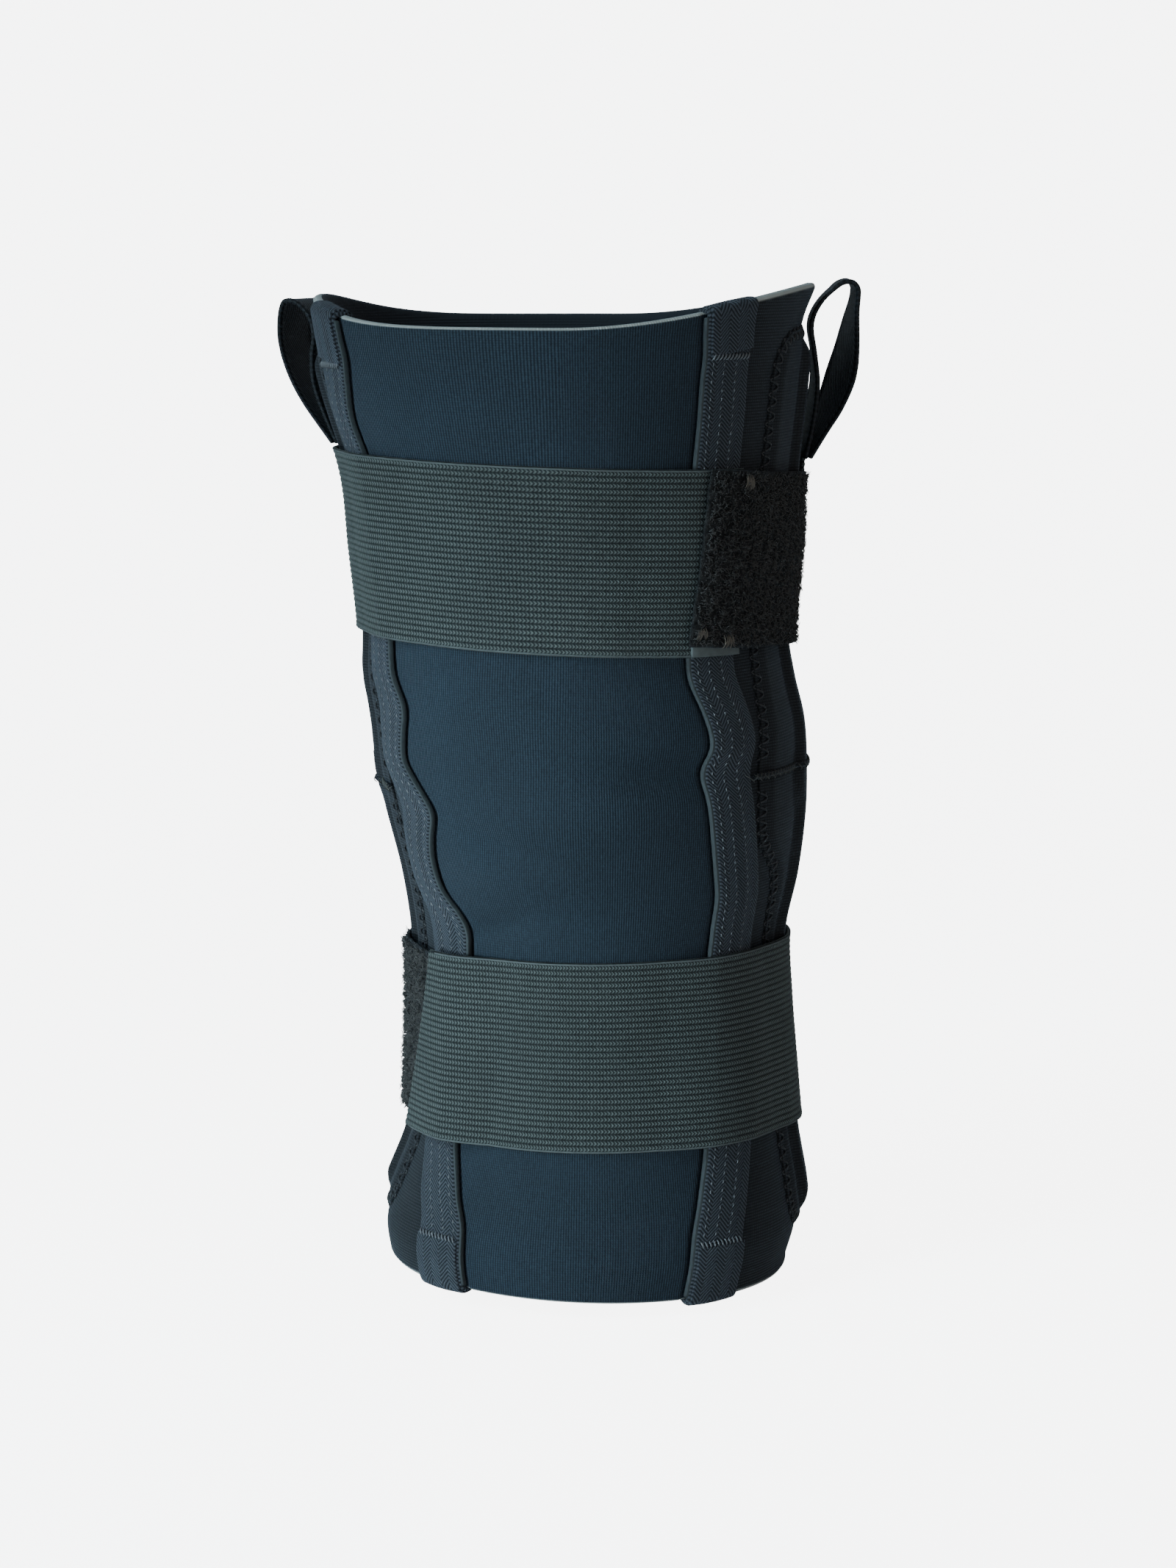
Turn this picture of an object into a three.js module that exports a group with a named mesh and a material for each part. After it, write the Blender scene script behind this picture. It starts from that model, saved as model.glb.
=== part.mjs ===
// Hinged knee brace in its worn form: a padded sleeve of two panels, open at both ends, with a
// stay tape over each seam, a pocket on each side that holds a flat hinge bar, two elastic
// straps that wrap the whole sleeve and close on pile pads, and a pull loop on each side.
// Millimetres, +Z up along the leg, the front facing -Y, +X to the viewer's right.
// The origin is the middle of the leg at the knee line.
import * as THREE from 'three';

// Sleeve.
const THIGH_LENGTH = 148; // knee line up to the top hem at the front
const SHIN_LENGTH = 163; // knee line down to the bottom hem
const OUTER_RISE = 12; // how much higher the top hem stands on the right side
const INNER_RISE = 8; // how much higher the top hem stands on the left side, past the tape
const INNER_RISE_POWER = 6; // how late round the side that rise sets in
const HEM_TILT = 1.8; // how much lower the bottom hem hangs on the right side
const HALF_WIDTH = 67; // leg axis to either side of the sleeve at the knee
const HALF_DEPTH = 65; // leg axis to the front or the back, as a measure for the sections
const SLEEVE_WALL = 3.5;
const SEAM_GAP = 0.3; // between the two panels, under the tapes
const LAYER_GAP = 0.35; // between one layer of cloth and the next
const FOLD_DEPTH = 2.6; // tallest fold over the kneecap

// Stay tapes over the two seams, turned in over both hems.
const TAPE_WIDTH = 18;
const TAPE_THICKNESS = 2;
const TAPE_TURN = 19; // how far the turned end runs along the inside

// Hinge bars and their pockets.
const HINGE_ANGLE = 96; // round from the front, on either side
const HINGE_WIDTH = 16;
const HINGE_THICKNESS = 2.2;
const HINGE_HEAD_RADIUS = 12;
const HINGE_END_ROOM = 12; // from the end of the bar to the end of its pocket
const POCKET_WALL = 2;
const POCKET_SEAM = 5; // least width of the sewn edge beside the bar
const POCKET_EASE = 0.9; // share of the sewn edge over which the pocket climbs the bar
const POCKET_ROOM = 1.5; // least distance from a pocket to the tape beside it
const POCKET_TOP_MARGIN = 13; // top hem down to the pocket
const POCKET_BOTTOM_MARGIN = 14; // bottom hem up to the pocket
const POCKET_CORNER = 14; // corner radius of the pocket ends
const POCKET_RAMP = 9; // from the end of a pocket up to where it stands full off the bar
const RIGHT_SLIT = 5; // height of the slit between the upper and the lower pocket
const LEFT_SLIT = -2;
const SLIT_GAP = 0.8;

// Elastic straps and the pile pads that they close on.
const STRAP_THICKNESS = 1.4;
const UPPER_STRAP_WIDTH = 58.5;
const UPPER_STRAP_DROP = 42.5; // top hem at the front down to the strap
const UPPER_STRAP_TILT = 2; // higher on the left, lower on the right
const LOWER_STRAP_WIDTH = 61.5;
const LOWER_STRAP_RISE = 48; // bottom hem up to the strap
const PAD_THICKNESS = 2.2;
const PILE_GAP = 0.7; // a strap stands this far off a pad, on the loops of its pile
const UPPER_PAD_WIDTH = 55;
const LOWER_PAD_WIDTH = 56.5;
const UPPER_PAD_SINK = 6; // how much lower the upper pad's rear end lies than its front end

// Pull loops of webbing at the top of each side.
const LOOP_ANGLE = 103;
const RIGHT_LOOP_LENGTH = 57;
const LEFT_LOOP_LENGTH = 46.5;
const RIGHT_LOOP_STAND = 9; // how far the loop bows out from its seat
const LEFT_LOOP_STAND = 8.5;
const RIGHT_LOOP_TWIST = 14; // degrees, the most that the webbing turns out of its seat's plane
const WEBBING_WIDTH = 25;
const WEBBING_THICKNESS = 1.4;
const LOOP_TO_STRAP = 1.5; // from the sewn end down to the strap

// How fine the faceted sheets are.
const ROW_STEP = 13;
const KNEE_ROW_STEP = 9;
const KNEE_REACH = 54; // the finer rows lie this far above and below the knee line
const FRONT_COLUMNS = 10;
const BACK_COLUMNS = 18;
const BAR_STEP = 7.5; // most degrees from one column to the next across a hinge bar
const STRAP_STEP = 7.5; // degrees from one column of a strap to the next
const PAD_STEP = 6;
const REACH_ROOM = 3; // degrees that a band looks past its next column for what lifts it
const REACH_STEPS = 12;
const LOOP_STEPS = 26;
const RUN_STEP = 0.01; // share of a loop over which its direction is taken
const ROW_ROOM = 3; // least height between the end of a sheet and the next row
const SHEARED = 0.97; // a quad is split along the diagonal that is shorter than this share

// Level sections of the sleeve. height is a share of THIGH_LENGTH above the knee line and of
// SHIN_LENGTH below it, left and right are shares of HALF_WIDTH, front and back of HALF_DEPTH.
const SECTIONS = [
  { height: 1.08, left: 1.37, right: 1.09, front: 1.23, back: 1.23 },
  { height: 1.02, left: 1.35, right: 1.038, front: 1.215, back: 1.215 },
  { height: 0.96, left: 1.33, right: 1.011, front: 1.20, back: 1.20 },
  { height: 0.85, left: 1.27, right: 0.985, front: 1.15, back: 1.15 },
  { height: 0.67, left: 1.15, right: 0.945, front: 1.11, back: 1.11 },
  { height: 0.50, left: 1.11, right: 0.93, front: 1.06, back: 1.06 },
  { height: 0.33, left: 1.07, right: 0.90, front: 1.03, back: 1.02 },
  { height: 0.225, left: 1.07, right: 0.935, front: 1.03, back: 0.98 },
  { height: 0.13, left: 1.035, right: 0.985, front: 1.07, back: 0.955 },
  { height: 0.02, left: 1.005, right: 1.00, front: 1.08, back: 0.93 },
  { height: -0.08, left: 0.955, right: 0.995, front: 1.045, back: 0.925 },
  { height: -0.20, left: 0.88, right: 0.96, front: 0.98, back: 0.925 },
  { height: -0.32, left: 0.835, right: 0.90, front: 0.915, back: 0.94 },
  { height: -0.45, left: 0.825, right: 0.91, front: 0.885, back: 0.97 },
  { height: -0.60, left: 0.835, right: 0.94, front: 0.875, back: 1.015 },
  { height: -0.73, left: 0.86, right: 0.97, front: 0.91, back: 1.06 },
  { height: -0.85, left: 0.97, right: 1.02, front: 0.955, back: 1.09 },
  { height: -0.93, left: 1.03, right: 1.03, front: 0.985, back: 1.11 },
  { height: -1.00, left: 1.01, right: 0.985, front: 0.99, back: 1.11 },
];

// Folds of the padded cloth over the kneecap. angle and reach are degrees round the leg,
// height and tall are shares of THIGH_LENGTH, slant is how many shares of THIGH_LENGTH the
// fold climbs over one reach, and depth is a share of FOLD_DEPTH, negative for a crease.
const FOLDS = [
  { angle: -18, height: 0.22, reach: 26, tall: 0.09, slant: -0.02, depth: 0.60 },
  { angle: 14, height: 0.08, reach: 24, tall: 0.05, slant: -0.03, depth: -0.90 },
  { angle: -6, height: -0.05, reach: 30, tall: 0.07, slant: 0.00, depth: 1.00 },
  { angle: -26, height: -0.16, reach: 16, tall: 0.045, slant: -0.03, depth: -0.80 },
  { angle: -16, height: -0.26, reach: 20, tall: 0.05, slant: -0.02, depth: 0.45 },
  { angle: 22, height: -0.19, reach: 18, tall: 0.07, slant: 0.03, depth: -0.35 },
];

// Where the two seams run, in degrees round from the front. height is a share of the way from
// the knee line to the top hem, or to the bottom hem below it.
const SEAMS = [
  { height: 1.00, left: -63.5, right: 45.3 },
  { height: 0.92, left: -62.5, right: 46.5 },
  { height: 0.86, left: -64.5, right: 46.2 },
  { height: 0.78, left: -67.5, right: 46.2 },
  { height: 0.70, left: -66, right: 45.9 },
  { height: 0.50, left: -66, right: 45.5 },
  { height: 0.33, left: -65, right: 46.5 },
  { height: 0.25, left: -63.5, right: 46 },
  { height: 0.18, left: -58.5, right: 49 },
  { height: 0.11, left: -61, right: 50.5 },
  { height: 0.06, left: -61.5, right: 49 },
  { height: 0.02, left: -57, right: 48.5 },
  { height: -0.04, left: -51, right: 49.5 },
  { height: -0.10, left: -54, right: 51 },
  { height: -0.15, left: -56, right: 52.5 },
  { height: -0.20, left: -55, right: 54 },
  { height: -0.25, left: -48, right: 54.5 },
  { height: -0.31, left: -46, right: 55 },
  { height: -0.50, left: -48.5, right: 53.5 },
  { height: -0.71, left: -52, right: 50 },
  { height: -0.81, left: -46, right: 46 },
  { height: -0.89, left: -40, right: 43 },
  { height: -1.00, left: -38.5, right: 42.5 },
];

// The front and back edges of the pockets, in degrees, by the same heights as the seams.
const POCKET_EDGES = [
  { height: 1.00, leftFront: -79, leftBack: -120, rightFront: 68, rightBack: 125 },
  { height: 0.80, leftFront: -79, leftBack: -120, rightFront: 67, rightBack: 125 },
  { height: 0.68, leftFront: -78, leftBack: -120, rightFront: 66.5, rightBack: 125 },
  { height: 0.30, leftFront: -77, leftBack: -119, rightFront: 65.5, rightBack: 124 },
  { height: 0.15, leftFront: -74, leftBack: -118, rightFront: 63.5, rightBack: 123 },
  { height: 0.00, leftFront: -71, leftBack: -118, rightFront: 61, rightBack: 121 },
  { height: -0.10, leftFront: -69, leftBack: -118, rightFront: 62, rightBack: 120 },
  { height: -0.18, leftFront: -68, leftBack: -118, rightFront: 72, rightBack: 120 },
  { height: -0.33, leftFront: -69, leftBack: -118, rightFront: 77, rightBack: 119 },
  { height: -0.60, leftFront: -71, leftBack: -118, rightFront: 79, rightBack: 119 },
  { height: -1.00, leftFront: -71, leftBack: -119, rightFront: 77, rightBack: 120 },
];

// The straps' and pads' ends, in degrees. An angle below -180 has gone once round the back.
const UPPER_STRAP_FIRST = 53; // sewn end, under the front of the upper pad
const UPPER_STRAP_LAST = -246; // gripped end, on the rear of the upper pad
const UPPER_PAD_FRONT = { top: 41, bottom: 36 };
const UPPER_PAD_BACK = 126;
const LOWER_STRAP_FIRST = 250; // sewn end, under the rear of the lower pad
const LOWER_STRAP_LAST = { top: -49, bottom: -65.5 };
const LOWER_PAD_FRONT = -43;
const LOWER_PAD_BACK = -124;

// The run of a pull loop. up is a share of the loop's length, out a share of the loop's stand, ply
// says whether the webbing lies on the pocket, 0, or on its own first end, 1, and twist is a share
// of the loop's twist.
const LOOP_RUN = [
  { along: 0.00, up: 0.00, out: 0.00, ply: 0, twist: 0 },
  { along: 0.10, up: 0.20, out: 0.14, ply: 0, twist: 0 },
  { along: 0.20, up: 0.42, out: 0.20, ply: 0, twist: -0.2 },
  { along: 0.28, up: 0.60, out: 0.02, ply: 0, twist: -0.4 },
  { along: 0.35, up: 0.76, out: -0.26, ply: 0, twist: -0.4 },
  { along: 0.41, up: 0.89, out: -0.18, ply: 0.1, twist: -0.4 },
  { along: 0.45, up: 0.97, out: 0.12, ply: 0.3, twist: -0.4 },
  { along: 0.49, up: 1.00, out: 0.46, ply: 0.5, twist: -0.4 },
  { along: 0.54, up: 0.98, out: 0.74, ply: 0.7, twist: -0.3 },
  { along: 0.60, up: 0.86, out: 0.95, ply: 0.9, twist: -0.1 },
  { along: 0.69, up: 0.66, out: 1.05, ply: 1, twist: 0.5 },
  { along: 0.78, up: 0.46, out: 0.94, ply: 1, twist: 1 },
  { along: 0.86, up: 0.28, out: 0.66, ply: 1, twist: 0.8 },
  { along: 0.93, up: 0.13, out: 0.32, ply: 1, twist: 0.3 },
  { along: 1.00, up: 0.00, out: 0.00, ply: 1, twist: 0 },
];

// Stands of the layers above the sleeve's outer face.
const HINGE_TOP = LAYER_GAP + HINGE_THICKNESS;
const TAPE_TOP = LAYER_GAP + TAPE_THICKNESS;
const POCKET_EDGE_TOP = LAYER_GAP + POCKET_WALL;
const POCKET_TOP = HINGE_TOP + LAYER_GAP + POCKET_WALL;

const SIDES = {
  left: {
    sign: -1,
    slit: LEFT_SLIT,
    loop: { length: LEFT_LOOP_LENGTH, stand: LEFT_LOOP_STAND, twist: 0 },
  },
  right: {
    sign: 1,
    slit: RIGHT_SLIT,
    loop: { length: RIGHT_LOOP_LENGTH, stand: RIGHT_LOOP_STAND, twist: RIGHT_LOOP_TWIST },
  },
};

// The value of one column of a table at a height, on a smooth curve through its rows.
function fromTable(table, column, value, key = 'height') {
  const rising = table[0][key] < table[table.length - 1][key];
  const rows = rising ? table : [...table].reverse();
  const x = (k) => rows[k][key];
  const y = (k) => rows[k][column];
  const last = rows.length - 1;
  const at = Math.min(Math.max(value, x(0)), x(last));
  let k = 0;
  while (k < last - 1 && at > x(k + 1)) k += 1;
  const slope = (m) => {
    const before = Math.max(m - 1, 0);
    const after = Math.min(m + 1, last);
    return (y(after) - y(before)) / (x(after) - x(before));
  };
  const span = x(k + 1) - x(k);
  const t = (at - x(k)) / span;
  return (2 * t ** 3 - 3 * t ** 2 + 1) * y(k) + (t ** 3 - 2 * t ** 2 + t) * span * slope(k)
    + (3 * t ** 2 - 2 * t ** 3) * y(k + 1) + (t ** 3 - t ** 2) * span * slope(k + 1);
}

const radians = THREE.MathUtils.degToRad;
const mix = THREE.MathUtils.lerp;

// An angle brought into -180 to 180.
const turned = (angle) => angle - 360 * Math.round(angle / 360);

function topHem(angle) {
  const s = Math.sin(radians(angle));
  return THIGH_LENGTH + OUTER_RISE * Math.max(0, s) ** 2 + INNER_RISE * Math.max(0, -s) ** INNER_RISE_POWER;
}

const bottomHem = (angle) => SHIN_LENGTH + HEM_TILT * Math.sin(radians(angle));
const heightAt = (angle, share) => share * (share >= 0 ? topHem(angle) : bottomHem(angle));
const shareAt = (angle, z) => z / (z >= 0 ? topHem(angle) : bottomHem(angle));

function foldAt(angle, z) {
  let stand = 0;
  for (const fold of FOLDS) {
    const across = (turned(angle) - fold.angle) / fold.reach;
    const up = (z / THIGH_LENGTH - fold.height - fold.slant * across) / fold.tall;
    stand += fold.depth * FOLD_DEPTH * Math.exp(-across * across - up * up);
  }
  return stand;
}

// The point at an angle and a height that stands a lift outside the sleeve's outer face: on an
// oval section with its own half axis to each of the four sides, moved out along its normal.
function skin(angle, z, lift) {
  const height = z / (z >= 0 ? THIGH_LENGTH : SHIN_LENGTH);
  const s = Math.sin(radians(angle));
  const c = Math.cos(radians(angle));
  const across = HALF_WIDTH * fromTable(SECTIONS, s > 0 ? 'right' : 'left', height);
  const along = HALF_DEPTH * fromTable(SECTIONS, c > 0 ? 'front' : 'back', height);
  const normal = new THREE.Vector2(along * s, -across * c).normalize();
  const stand = lift + foldAt(angle, z);
  return new THREE.Vector3(across * s + stand * normal.x, -along * c + stand * normal.y, z);
}

// How many degrees a width takes up at a place on the sleeve.
function degreesFor(width, angle, z) {
  return width / skin(angle - 0.5, z, 0).distanceTo(skin(angle + 0.5, z, 0));
}

const seamAngle = (side, share) => fromTable(SEAMS, side, share);

// The angle of a tape's edge, outward from its seam for a positive sign.
function tapeEdge(side, share, sign) {
  const centre = seamAngle(side, share);
  const half = degreesFor(TAPE_WIDTH / 2, centre, heightAt(centre, share));
  return centre + SIDES[side].sign * sign * half;
}

// Half the hinge bar's width at a height: a round head at the knee line between two arms.
function hingeHalfWidth(z) {
  const head = Math.sqrt(Math.max(0, HINGE_HEAD_RADIUS ** 2 - z * z));
  return Math.max(HINGE_WIDTH / 2, head);
}

// The angle of the hinge bar's front or back edge, with room added to its half width. reach
// makes it the widest edge within that height.
function hingeEdge(side, z, end, room = 0, reach = 0) {
  const centre = SIDES[side].sign * HINGE_ANGLE;
  const widest = hingeHalfWidth(Math.max(0, Math.abs(z) - reach));
  const half = degreesFor(widest + room, centre, z);
  return centre + SIDES[side].sign * (end === 'Front' ? -half : half);
}

// How many columns cross the bar, on the bar itself and on the pocket over it.
function barColumns(side) {
  const head = degreesFor(HINGE_HEAD_RADIUS, SIDES[side].sign * HINGE_ANGLE, 0);
  return Math.ceil((2 * head) / BAR_STEP);
}

// The angle of a pocket's front or back edge: as the table has it, but clear of the tape and
// far enough from the bar for its sewn edge.
function pocketEdge(side, share, end) {
  const { sign } = SIDES[side];
  const z = heightAt(sign * HINGE_ANGLE, share);
  const drawn = sign * fromTable(POCKET_EDGES, side + end, share);
  const bar = sign * hingeEdge(side, z, end, POCKET_SEAM);
  if (end === 'Back') return sign * Math.max(drawn, bar);
  const tape = sign * tapeEdge(side, share, 1);
  const clear = tape + degreesFor(POCKET_ROOM, sign * tape, z);
  return sign * Math.max(clear, Math.min(drawn, bar));
}

const pocketTopEnd = (angle) => topHem(angle) - POCKET_TOP_MARGIN;
const pocketBottomEnd = (angle) => POCKET_BOTTOM_MARGIN - bottomHem(angle);

// A closed solid between two grids of points, whose rows run up the outside of the sleeve and
// whose columns run with the growing angle.
function closedGrid(inner, outer) {
  const rows = outer.length;
  const columns = outer[0].length;
  const points = [...outer.flat(), ...inner.flat()];
  const out = (i, j) => i * columns + j;
  const inn = (i, j) => rows * columns + out(i, j);
  const faces = [];
  const quad = (a, b, c, d) => {
    const level = points[a].distanceTo(points[c]);
    const other = points[b].distanceTo(points[d]);
    if (other < level * SHEARED) faces.push(b, c, d, b, d, a);
    else faces.push(a, b, c, a, c, d);
  };
  for (let i = 0; i < rows - 1; i += 1) {
    for (let j = 0; j < columns - 1; j += 1) {
      quad(out(i, j), out(i, j + 1), out(i + 1, j + 1), out(i + 1, j));
      quad(inn(i, j), inn(i + 1, j), inn(i + 1, j + 1), inn(i, j + 1));
    }
    const end = columns - 1;
    quad(out(i, 0), out(i + 1, 0), inn(i + 1, 0), inn(i, 0));
    quad(out(i, end), inn(i, end), inn(i + 1, end), out(i + 1, end));
  }
  for (let j = 0; j < columns - 1; j += 1) {
    const top = rows - 1;
    quad(out(0, j), inn(0, j), inn(0, j + 1), out(0, j + 1));
    quad(out(top, j), out(top, j + 1), inn(top, j + 1), inn(top, j));
  }
  const geometry = new THREE.BufferGeometry();
  geometry.setAttribute('position', new THREE.Float32BufferAttribute(
    points.flatMap((p) => [p.x, p.y, p.z]), 3));
  geometry.setIndex(faces);
  geometry.computeVertexNormals();
  return geometry;
}

// The rows that every sheet shares, as shares of the way to the hems.
function commonRows() {
  const half = (length) => {
    const knee = Math.min(KNEE_REACH, length / 2);
    const near = Math.ceil(knee / KNEE_ROW_STEP);
    const far = Math.ceil((length - knee) / ROW_STEP);
    const shares = [];
    for (let k = 1; k <= near; k += 1) shares.push((knee / length) * (k / near));
    for (let k = 1; k <= far; k += 1) shares.push(mix(knee / length, 1, k / far));
    return shares;
  };
  return [...half(SHIN_LENGTH).map((share) => -share).reverse(), 0, ...half(THIGH_LENGTH)];
}

const COMMON_ROWS = commonRows();

// The rows of a sheet from one height to another, each given as a function of the angle: both
// ends, and the common rows that lie clear of them over the angles that the sheet covers.
function rowsBetween(low, high, angles) {
  const lowEnd = { share: shareAt(angles[0], low(angles[0])), z: low };
  const highEnd = { share: shareAt(angles[0], high(angles[0])), z: high };
  const between = COMMON_ROWS.filter((share) => angles.every((angle) => {
    const z = heightAt(angle, share);
    return z - low(angle) > ROW_ROOM && high(angle) - z > ROW_ROOM;
  }));
  const rows = between.map((share) => ({ share, z: (angle) => heightAt(angle, share) }));
  return [lowEnd, ...rows, highEnd];
}

// A sheet laid round the sleeve. columns gives the angles of a row, and under and over give
// the stands of its two faces at an angle and a height.
function sheet(rows, columns, under, over) {
  const inner = [];
  const outer = [];
  for (const row of rows) {
    const angles = columns(row);
    inner.push(angles.map((a, j) => skin(a, row.z(a), under(a, row.z(a), j, row))));
    outer.push(angles.map((a, j) => skin(a, row.z(a), over(a, row.z(a), j, row))));
  }
  return closedGrid(inner, outer);
}

// Angles in even steps, both ends included.
function spread(from, to, count) {
  return Array.from({ length: count + 1 }, (_, k) => mix(from, to, k / count));
}

function panel(fromSide, toSide, turn, count) {
  const rows = COMMON_ROWS.map((share) => ({ share, z: (angle) => heightAt(angle, share) }));
  const columns = ({ share }) => {
    const inward = turn ? 1 : -1;
    const start = seamAngle(fromSide, share);
    const end = seamAngle(toSide, share);
    const gap = degreesFor(SEAM_GAP / 2, start, heightAt(start, share));
    const middle = spread(tapeEdge(fromSide, share, inward),
      tapeEdge(toSide, share, inward) + turn, count);
    return [start + gap, ...middle, end + turn - gap];
  };
  return sheet(rows, columns, () => -SLEEVE_WALL, () => 0);
}

const frontPanel = () => panel('left', 'right', 0, FRONT_COLUMNS);
const backPanel = () => panel('right', 'left', 360, BACK_COLUMNS);

// A tape that runs up the outside over its seam and turns in over both hems.
function stayTape(side) {
  const near = [];
  const far = [];
  const inside = -SLEEVE_WALL - LAYER_GAP;
  const add = (share, nearLift, farLift, nearRise = 0, farRise = nearRise) => {
    const edges = [tapeEdge(side, share, -1), seamAngle(side, share), tapeEdge(side, share, 1)];
    edges.sort((a, b) => a - b);
    const place = (lift, rise) => edges.map((angle) => {
      const on = skin(angle, heightAt(angle, share), lift);
      return on.setZ(on.z + rise);
    });
    near.push(place(nearLift, nearRise));
    far.push(place(farLift, farRise));
  };
  const hem = (share) => {
    const up = Math.sign(share);
    const corners = [[inside, inside - TAPE_THICKNESS], [LAYER_GAP, TAPE_TOP]];
    const inner = [[share - up * (TAPE_TURN / (up > 0 ? THIGH_LENGTH : SHIN_LENGTH)),
      ...corners[0], 0, 0]];
    const edge = corners.map(([nearLift, farLift]) => [share, nearLift, farLift,
      up * LAYER_GAP, up * (LAYER_GAP + TAPE_THICKNESS)]);
    return up < 0 ? [...inner, ...edge] : [...edge.reverse(), ...inner];
  };
  hem(-1).forEach((row) => add(...row));
  COMMON_ROWS.slice(1, -1).forEach((share) => add(share, LAYER_GAP, TAPE_TOP));
  hem(1).forEach((row) => add(...row));
  return closedGrid(near, far);
}

// The flat hinge bar: two arms and the round head at the knee line, in one piece.
function hingeBar(side) {
  const centre = SIDES[side].sign * HINGE_ANGLE;
  const low = (angle) => pocketBottomEnd(angle) + HINGE_END_ROOM;
  const high = (angle) => pocketTopEnd(angle) - HINGE_END_ROOM;
  const rows = rowsBetween(low, high, [centre]);
  const columns = (row) => {
    const z = row.z(centre);
    const edges = [hingeEdge(side, z, 'Front'), hingeEdge(side, z, 'Back')].sort((a, b) => a - b);
    return spread(...edges, barColumns(side));
  };
  return sheet(rows, columns, () => LAYER_GAP, () => HINGE_TOP);
}

// How much a pocket is drawn in at a height by the round corners of its outer end.
function cornerInset(z, end) {
  const depth = Math.min(Math.abs(end - z), POCKET_CORNER);
  return POCKET_CORNER - Math.sqrt(POCKET_CORNER ** 2 - (POCKET_CORNER - depth) ** 2);
}

// One half of a hinge pocket, sewn flat along its edges and standing over the bar between.
function hingePocket(side, half) {
  const { sign, slit } = SIDES[side];
  const centre = sign * HINGE_ANGLE;
  const upper = half === 'upper';
  const outerEnd = upper ? pocketTopEnd : pocketBottomEnd;
  const slitEnd = () => slit + (upper ? 0.5 : -0.5) * SLIT_GAP;
  const inward = (depth) => (angle) => outerEnd(angle) - Math.sign(outerEnd(angle)) * depth;
  const rowAt = (z) => ({ share: shareAt(centre, z(centre)), z });
  const last = [rowAt(inward(ROW_ROOM)), rowAt(outerEnd)];
  const rows = upper ? [...rowsBetween(slitEnd, inward(POCKET_RAMP), [centre]), ...last]
    : [...last.reverse(), ...rowsBetween(inward(POCKET_RAMP), slitEnd, [centre])];
  const columns = (row) => {
    const z = row.z(centre);
    const inset = degreesFor(cornerInset(z, outerEnd(centre)), centre, z);
    const front = sign * pocketEdge(side, row.share, 'Front') + inset;
    const back = sign * pocketEdge(side, row.share, 'Back') - inset;
    const barFront = sign * hingeEdge(side, z, 'Front', LAYER_GAP, KNEE_ROW_STEP);
    const barBack = sign * hingeEdge(side, z, 'Back', LAYER_GAP, KNEE_ROW_STEP);
    const ease = degreesFor(POCKET_SEAM - LAYER_GAP, centre, z) * POCKET_EASE;
    const angles = [
      front,
      mix(front, barFront - ease, 0.5),
      barFront - ease,
      ...spread(barFront, barBack, barColumns(side)),
      barBack + ease,
      mix(back, barBack + ease, 0.5),
      back,
    ];
    return angles.map((angle) => sign * angle).sort((a, b) => a - b);
  };
  const lift = (a, z, j) => {
    if (j < 3 || j > 3 + barColumns(side)) return LAYER_GAP;
    const risen = (Math.abs(outerEnd(a) - z) - ROW_ROOM) / (POCKET_RAMP - ROW_ROOM);
    return LAYER_GAP + HINGE_TOP * THREE.MathUtils.clamp(risen, 0, 1);
  };
  return sheet(rows, columns, lift, (a, z, j) => lift(a, z, j) + POCKET_WALL);
}

// The stand of the highest layer at a place: a tape or a pocket, or the bare sleeve.
function layersTop(angle, z) {
  const at = turned(angle);
  const share = shareAt(at, z);
  let top = 0;
  for (const side of ['left', 'right']) {
    const { sign } = SIDES[side];
    const within = (from, to) => sign * at >= sign * from && sign * at <= sign * to;
    if (within(tapeEdge(side, share, -1), tapeEdge(side, share, 1))) top = Math.max(top, TAPE_TOP);
    if (within(pocketEdge(side, share, 'Front'), pocketEdge(side, share, 'Back'))) {
      top = Math.max(top, POCKET_EDGE_TOP);
    }
    const front = hingeEdge(side, z, 'Front', POCKET_SEAM);
    if (within(front, hingeEdge(side, z, 'Back', POCKET_SEAM))) top = Math.max(top, POCKET_TOP);
  }
  return top;
}

// The stand at which a taut band lies over what is beneath it: the highest top within reach
// degrees to either side, plus the gap between layers.
function restOn(top, angle, z, reach) {
  const near = spread(angle - reach, angle + reach, REACH_STEPS);
  return LAYER_GAP + Math.max(...near.map((a) => top(a, z)));
}

const upperStrapTop = (angle) => THIGH_LENGTH - UPPER_STRAP_DROP
  - UPPER_STRAP_TILT * Math.sin(radians(angle));
const upperStrapBottom = (angle) => upperStrapTop(angle) - UPPER_STRAP_WIDTH;
const lowerStrapBottom = () => LOWER_STRAP_RISE - SHIN_LENGTH;
const lowerStrapTop = () => lowerStrapBottom() + LOWER_STRAP_WIDTH;

const STRAP_REACH = STRAP_STEP + REACH_ROOM;
const PAD_REACH = PAD_STEP + STRAP_STEP;

// An end that may slant: its angle at a height between the band's bottom and top.
function endAngle(end, z, bottom, top) {
  if (typeof end === 'number') return end;
  return mix(end.bottom, end.top, THREE.MathUtils.clamp((z - bottom) / (top - bottom), 0, 1));
}

// A band round the sleeve between two ends and two edges, laid on what under says.
function band(first, last, bottom, top, step, thickness, under) {
  const at = (end) => (typeof end === 'number' ? end : (end.top + end.bottom) / 2);
  const count = Math.ceil((at(last) - at(first)) / step);
  const rows = rowsBetween(bottom, top, spread(at(first), at(last), count));
  const columns = (row) => {
    const z = row.z(at(first));
    const from = endAngle(first, z, bottom(at(first)), top(at(first)));
    return spread(from, endAngle(last, row.z(at(last)), bottom(at(last)), top(at(last))), count);
  };
  return sheet(rows, columns, under, (a, z) => under(a, z) + thickness);
}

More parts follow.
